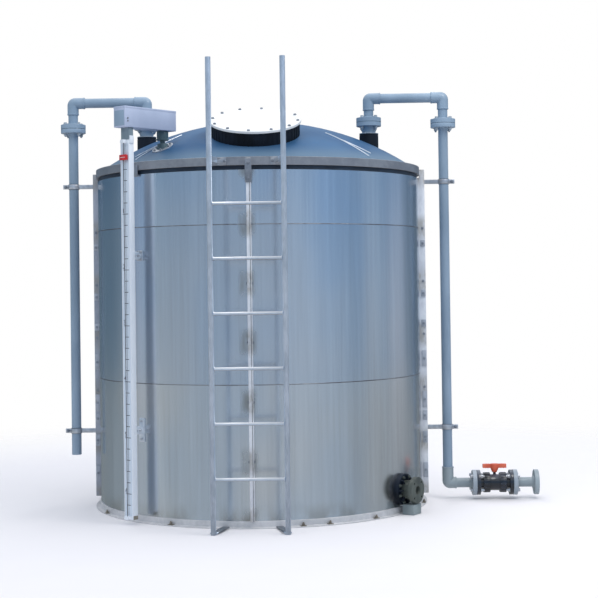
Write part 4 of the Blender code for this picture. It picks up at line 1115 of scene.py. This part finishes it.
for hand in (-1, 1):
    for place in valve["gripPlaces"]:
        middle = valve["stem"] + hand * place
        grips.append(block("grip", (middle - half, -reach, valve["gripLow"]), (middle + half, reach, valve["gripHigh"]),
                           .0012))
present(joined("handle_grips", grips), "handle", "handle")
dressed("valve_ball", "turning_ball", "valve", angle=40, body="handle")
print("valve and inlet made")

# drain: bolted pad with spokes, neck and drilled flange, and a grey block under it that paints the nozzle's shadow
drain = {"padFace": 1.030, "bolts": 8, "boltCircle": .0765, "firstBolt": 22.5, "spokes": 8, "spokeCircle": .0550,
         "flangeMiddle": 1.0985, "hole": (.0070, .06), "bolt": (.015, .007, .0105, .0015, .004, .0045),
         "rest": ((1.0315, -.046, .0), (1.1070, .046, .0600), .003), "saddle": (.0790, 1.02, 1.12)}
drainAxis = outward(drainBore["azimuth"])
drainFoot = (0, 0, drainBore["height"])
face = drain["padFace"]
dressed("drain_pad", "drain_plate", "blackResin", .0015)
stub = copied("drain_nozzle", "drain_stub", 35, .0015)
drilled(stub, circle(drainFoot, drainAxis, pairing["circle"], pairing["bolts"], pairing["start"],
                     drain["flangeMiddle"]), *drain["hole"])
present(stub, "drain", standsFor=("drain_nozzle",))
spots = circle(drainFoot, drainAxis, drain["boltCircle"], drain["bolts"], drain["firstBolt"], face)
bolted("drain_bolts", spots, drain["bolt"], "drain")
spoke = block("spoke", (-.0006, -.003, face - .001), (.0300, .003, face + .018), .0012)
spots = circle(drainFoot, drainAxis, drain["spokeCircle"], drain["spokes"])
present(scattered("drain_spokes", spoke, spots), "blackResin")
# grey block under the nozzle: a painted shadow
rest = block("drain_rest", *drain["rest"], polar(drainBore["azimuth"]))
saddle = borer(*drain["saddle"], drainFoot, drainAxis, (0, 0, 1), 48)
present(smoothed(cut(rest, saddle), 30), "restGrey")
print("drain made")

for node in nodes.values():
    if not node.hide_render:
        node.data.materials.clear()
        node.data.materials.append(finishes["inside"])

# pale floor that fades out away from the tank
floorLooks = {"radius": 9.0, "sides": 96, "height": -.0005, "fadeFrom": 2.2, "fadeTo": 5.5,
              "tones": ((.925, .895, .910), (.945, .915, .925))}
clearSelection()
bpy.ops.mesh.primitive_circle_add(vertices=floorLooks["sides"], radius=floorLooks["radius"], fill_type="NGON",
                                  location=(0, 0, floorLooks["height"]))
floor = bpy.context.object
floor.name = "studioFloor"
settle(floor)
floorFinish = Finish("studioFloor")
spread = floorFinish.add("ShaderNodeVectorMath", {"operation": "LENGTH"}, {0: floorFinish.place()}, out="Value")
tone = floorFinish.mix(*floorLooks["tones"], floorFinish.noise(3, (1, 1, 1), 2))
floorFinish.shade(color=tone, rough=.8, specular=.2)
clearer = floorFinish.add("ShaderNodeBsdfTransparent")
blend = floorFinish.add("ShaderNodeMixShader", None, {
    0: floorFinish.ease(spread, floorLooks["fadeFrom"], floorLooks["fadeTo"]),
    1: Signal(floorFinish, floorFinish.shader.outputs[0]), 2: clearer})
floorFinish.tree.links.new(blend.socket, floorFinish.tree.nodes["Material Output"].inputs["Surface"])
floor.data.materials.append(floorFinish.material)
floor.visible_glossy = False

# studio surroundings: white behind, and the soft upright bands that the steel mirrors
studio = {
    "backdrop": (1.0, 1.0, 1.0),
    "bands": [(-180, (.08, .11, .14)), (-158, (.11, .17, .22)), (-128, (.13, .20, .26)), (-108, (.22, .29, .34)),
              (-98, (.46, .48, .52)), (-92, (.44, .48, .56)), (-88, (.56, .66, .82)), (-84, (.44, .52, .60)),
              (-75, (.42, .50, .55)), (-71.5, (.56, .63, .68)), (-68, (.42, .49, .56)), (-30, (.43, .51, .60)),
              (5, (.46, .56, .68)), (20, (.47, .57, .70)), (32, (.53, .64, .77)), (50, (.46, .58, .72)),
              (78, (.30, .42, .56)), (86, (.55, .62, .70)), (94, (.52, .59, .66)), (101, (.34, .43, .53)),
              (111, (.53, .58, .66)), (123, (.49, .54, .62)), (131, (.22, .29, .37)), (150, (.13, .18, .23)),
              (180, (.08, .11, .14))],
    "lowBands": [(-180, (.22, .24, .24)), (-135, (.32, .34, .34)), (-100, (.48, .50, .50)), (-80, (.62, .63, .62)),
                 (-60, (.50, .53, .54)), (0, (.54, .56, .57)), (50, (.49, .52, .54)), (80, (.34, .37, .39)),
                 (123, (.31, .34, .36)), (150, (.26, .29, .31)), (180, (.22, .24, .24))],
    "highBlue": (.46, .66, .86), "lowShare": .76, "overhead": (.84, .88, .94), "underfoot": (.56, .56, .58),
}
world = bpy.data.worlds.new("studio")
bpy.context.scene.world = world
world.use_nodes = True
sky = Finish("studio", world.node_tree)
background = world.node_tree.nodes["Background"]
east, north, height = sky.axes(sky.add("ShaderNodeTexCoord", out="Generated"))
bearing = sky.add("ShaderNodeMath", {"operation": "ARCTAN2"}, {0: east, 1: 0 - north})
turnShare = bearing / (2 * math.pi) + .5


def bandsRound(bands):
    return sky.ramp(turnShare, [(angle / 360 + .5, colour) for angle, colour in bands])


surround = bandsRound(studio["bands"])
surround = sky.mix(surround, surround * studio["highBlue"], sky.ease(height, .050, .062))
surround = sky.mix(surround, bandsRound(studio["lowBands"]), sky.ease(height, -.055, -.085) * studio["lowShare"])
surround = sky.mix(surround, studio["overhead"], sky.ease(height, .16, .55))
surround = sky.mix(surround, studio["underfoot"], sky.ease(height, -.25, -.7))
surround = sky.mix(surround, studio["backdrop"], sky.add("ShaderNodeLightPath", out="Is Camera Ray"))
world.node_tree.links.new(surround.socket, background.inputs["Color"])
background.inputs["Strength"].default_value = 1.0

lampsAim = Vector((0, 0, 1.1))
lamps = {
    "keyLamp": {"azimuth": 52, "rise": 5.6, "away": 3.8, "size": 2.4, "watts": 95, "tint": (1.0, .98, .96)},
    "fillLamp": {"azimuth": -35, "rise": 5.6, "away": 4.2, "size": 2.6, "watts": 30, "tint": (.92, .95, 1.0)},
    "topLamp": {"azimuth": 10, "rise": 6.2, "away": .6, "size": 3.5, "watts": 45, "tint": (.97, .98, 1.0)},
    "backLamp": {"azimuth": 170, "rise": 5.2, "away": 4.0, "size": 2.6, "watts": 60, "tint": (.95, .97, 1.0)},
}
for name, lamp in lamps.items():
    spot = outward(lamp["azimuth"]) * lamp["away"] + Vector((0, 0, lamp["rise"]))
    bpy.ops.object.light_add(type="AREA", location=spot)
    light = bpy.context.object
    light.name = name
    light.data.size = lamp["size"]
    light.data.energy = lamp["watts"]
    light.data.color = lamp["tint"]
    light.visible_glossy = name == "keyLamp"  # only the key lamp shows in what is glossy
    light.rotation_euler = (lampsAim - spot).to_track_quat("-Z", "Y").to_euler()

# the photographer's place
view = {"place": (.4678, -8.8177, 1.3626), "turns": (90.8016, .762, 1.423), "sensor": 36, "lens": 84.467, "shift": -.06}
bpy.ops.object.camera_add(location=view["place"], rotation=[math.radians(turn) for turn in view["turns"]])
camera = bpy.context.object
camera.data.sensor_width = view["sensor"]
camera.data.lens = view["lens"]
camera.data.shift_y = view["shift"]
bpy.context.scene.camera = camera
bpy.context.scene.view_settings.view_transform = "Standard"
print("studio lit")
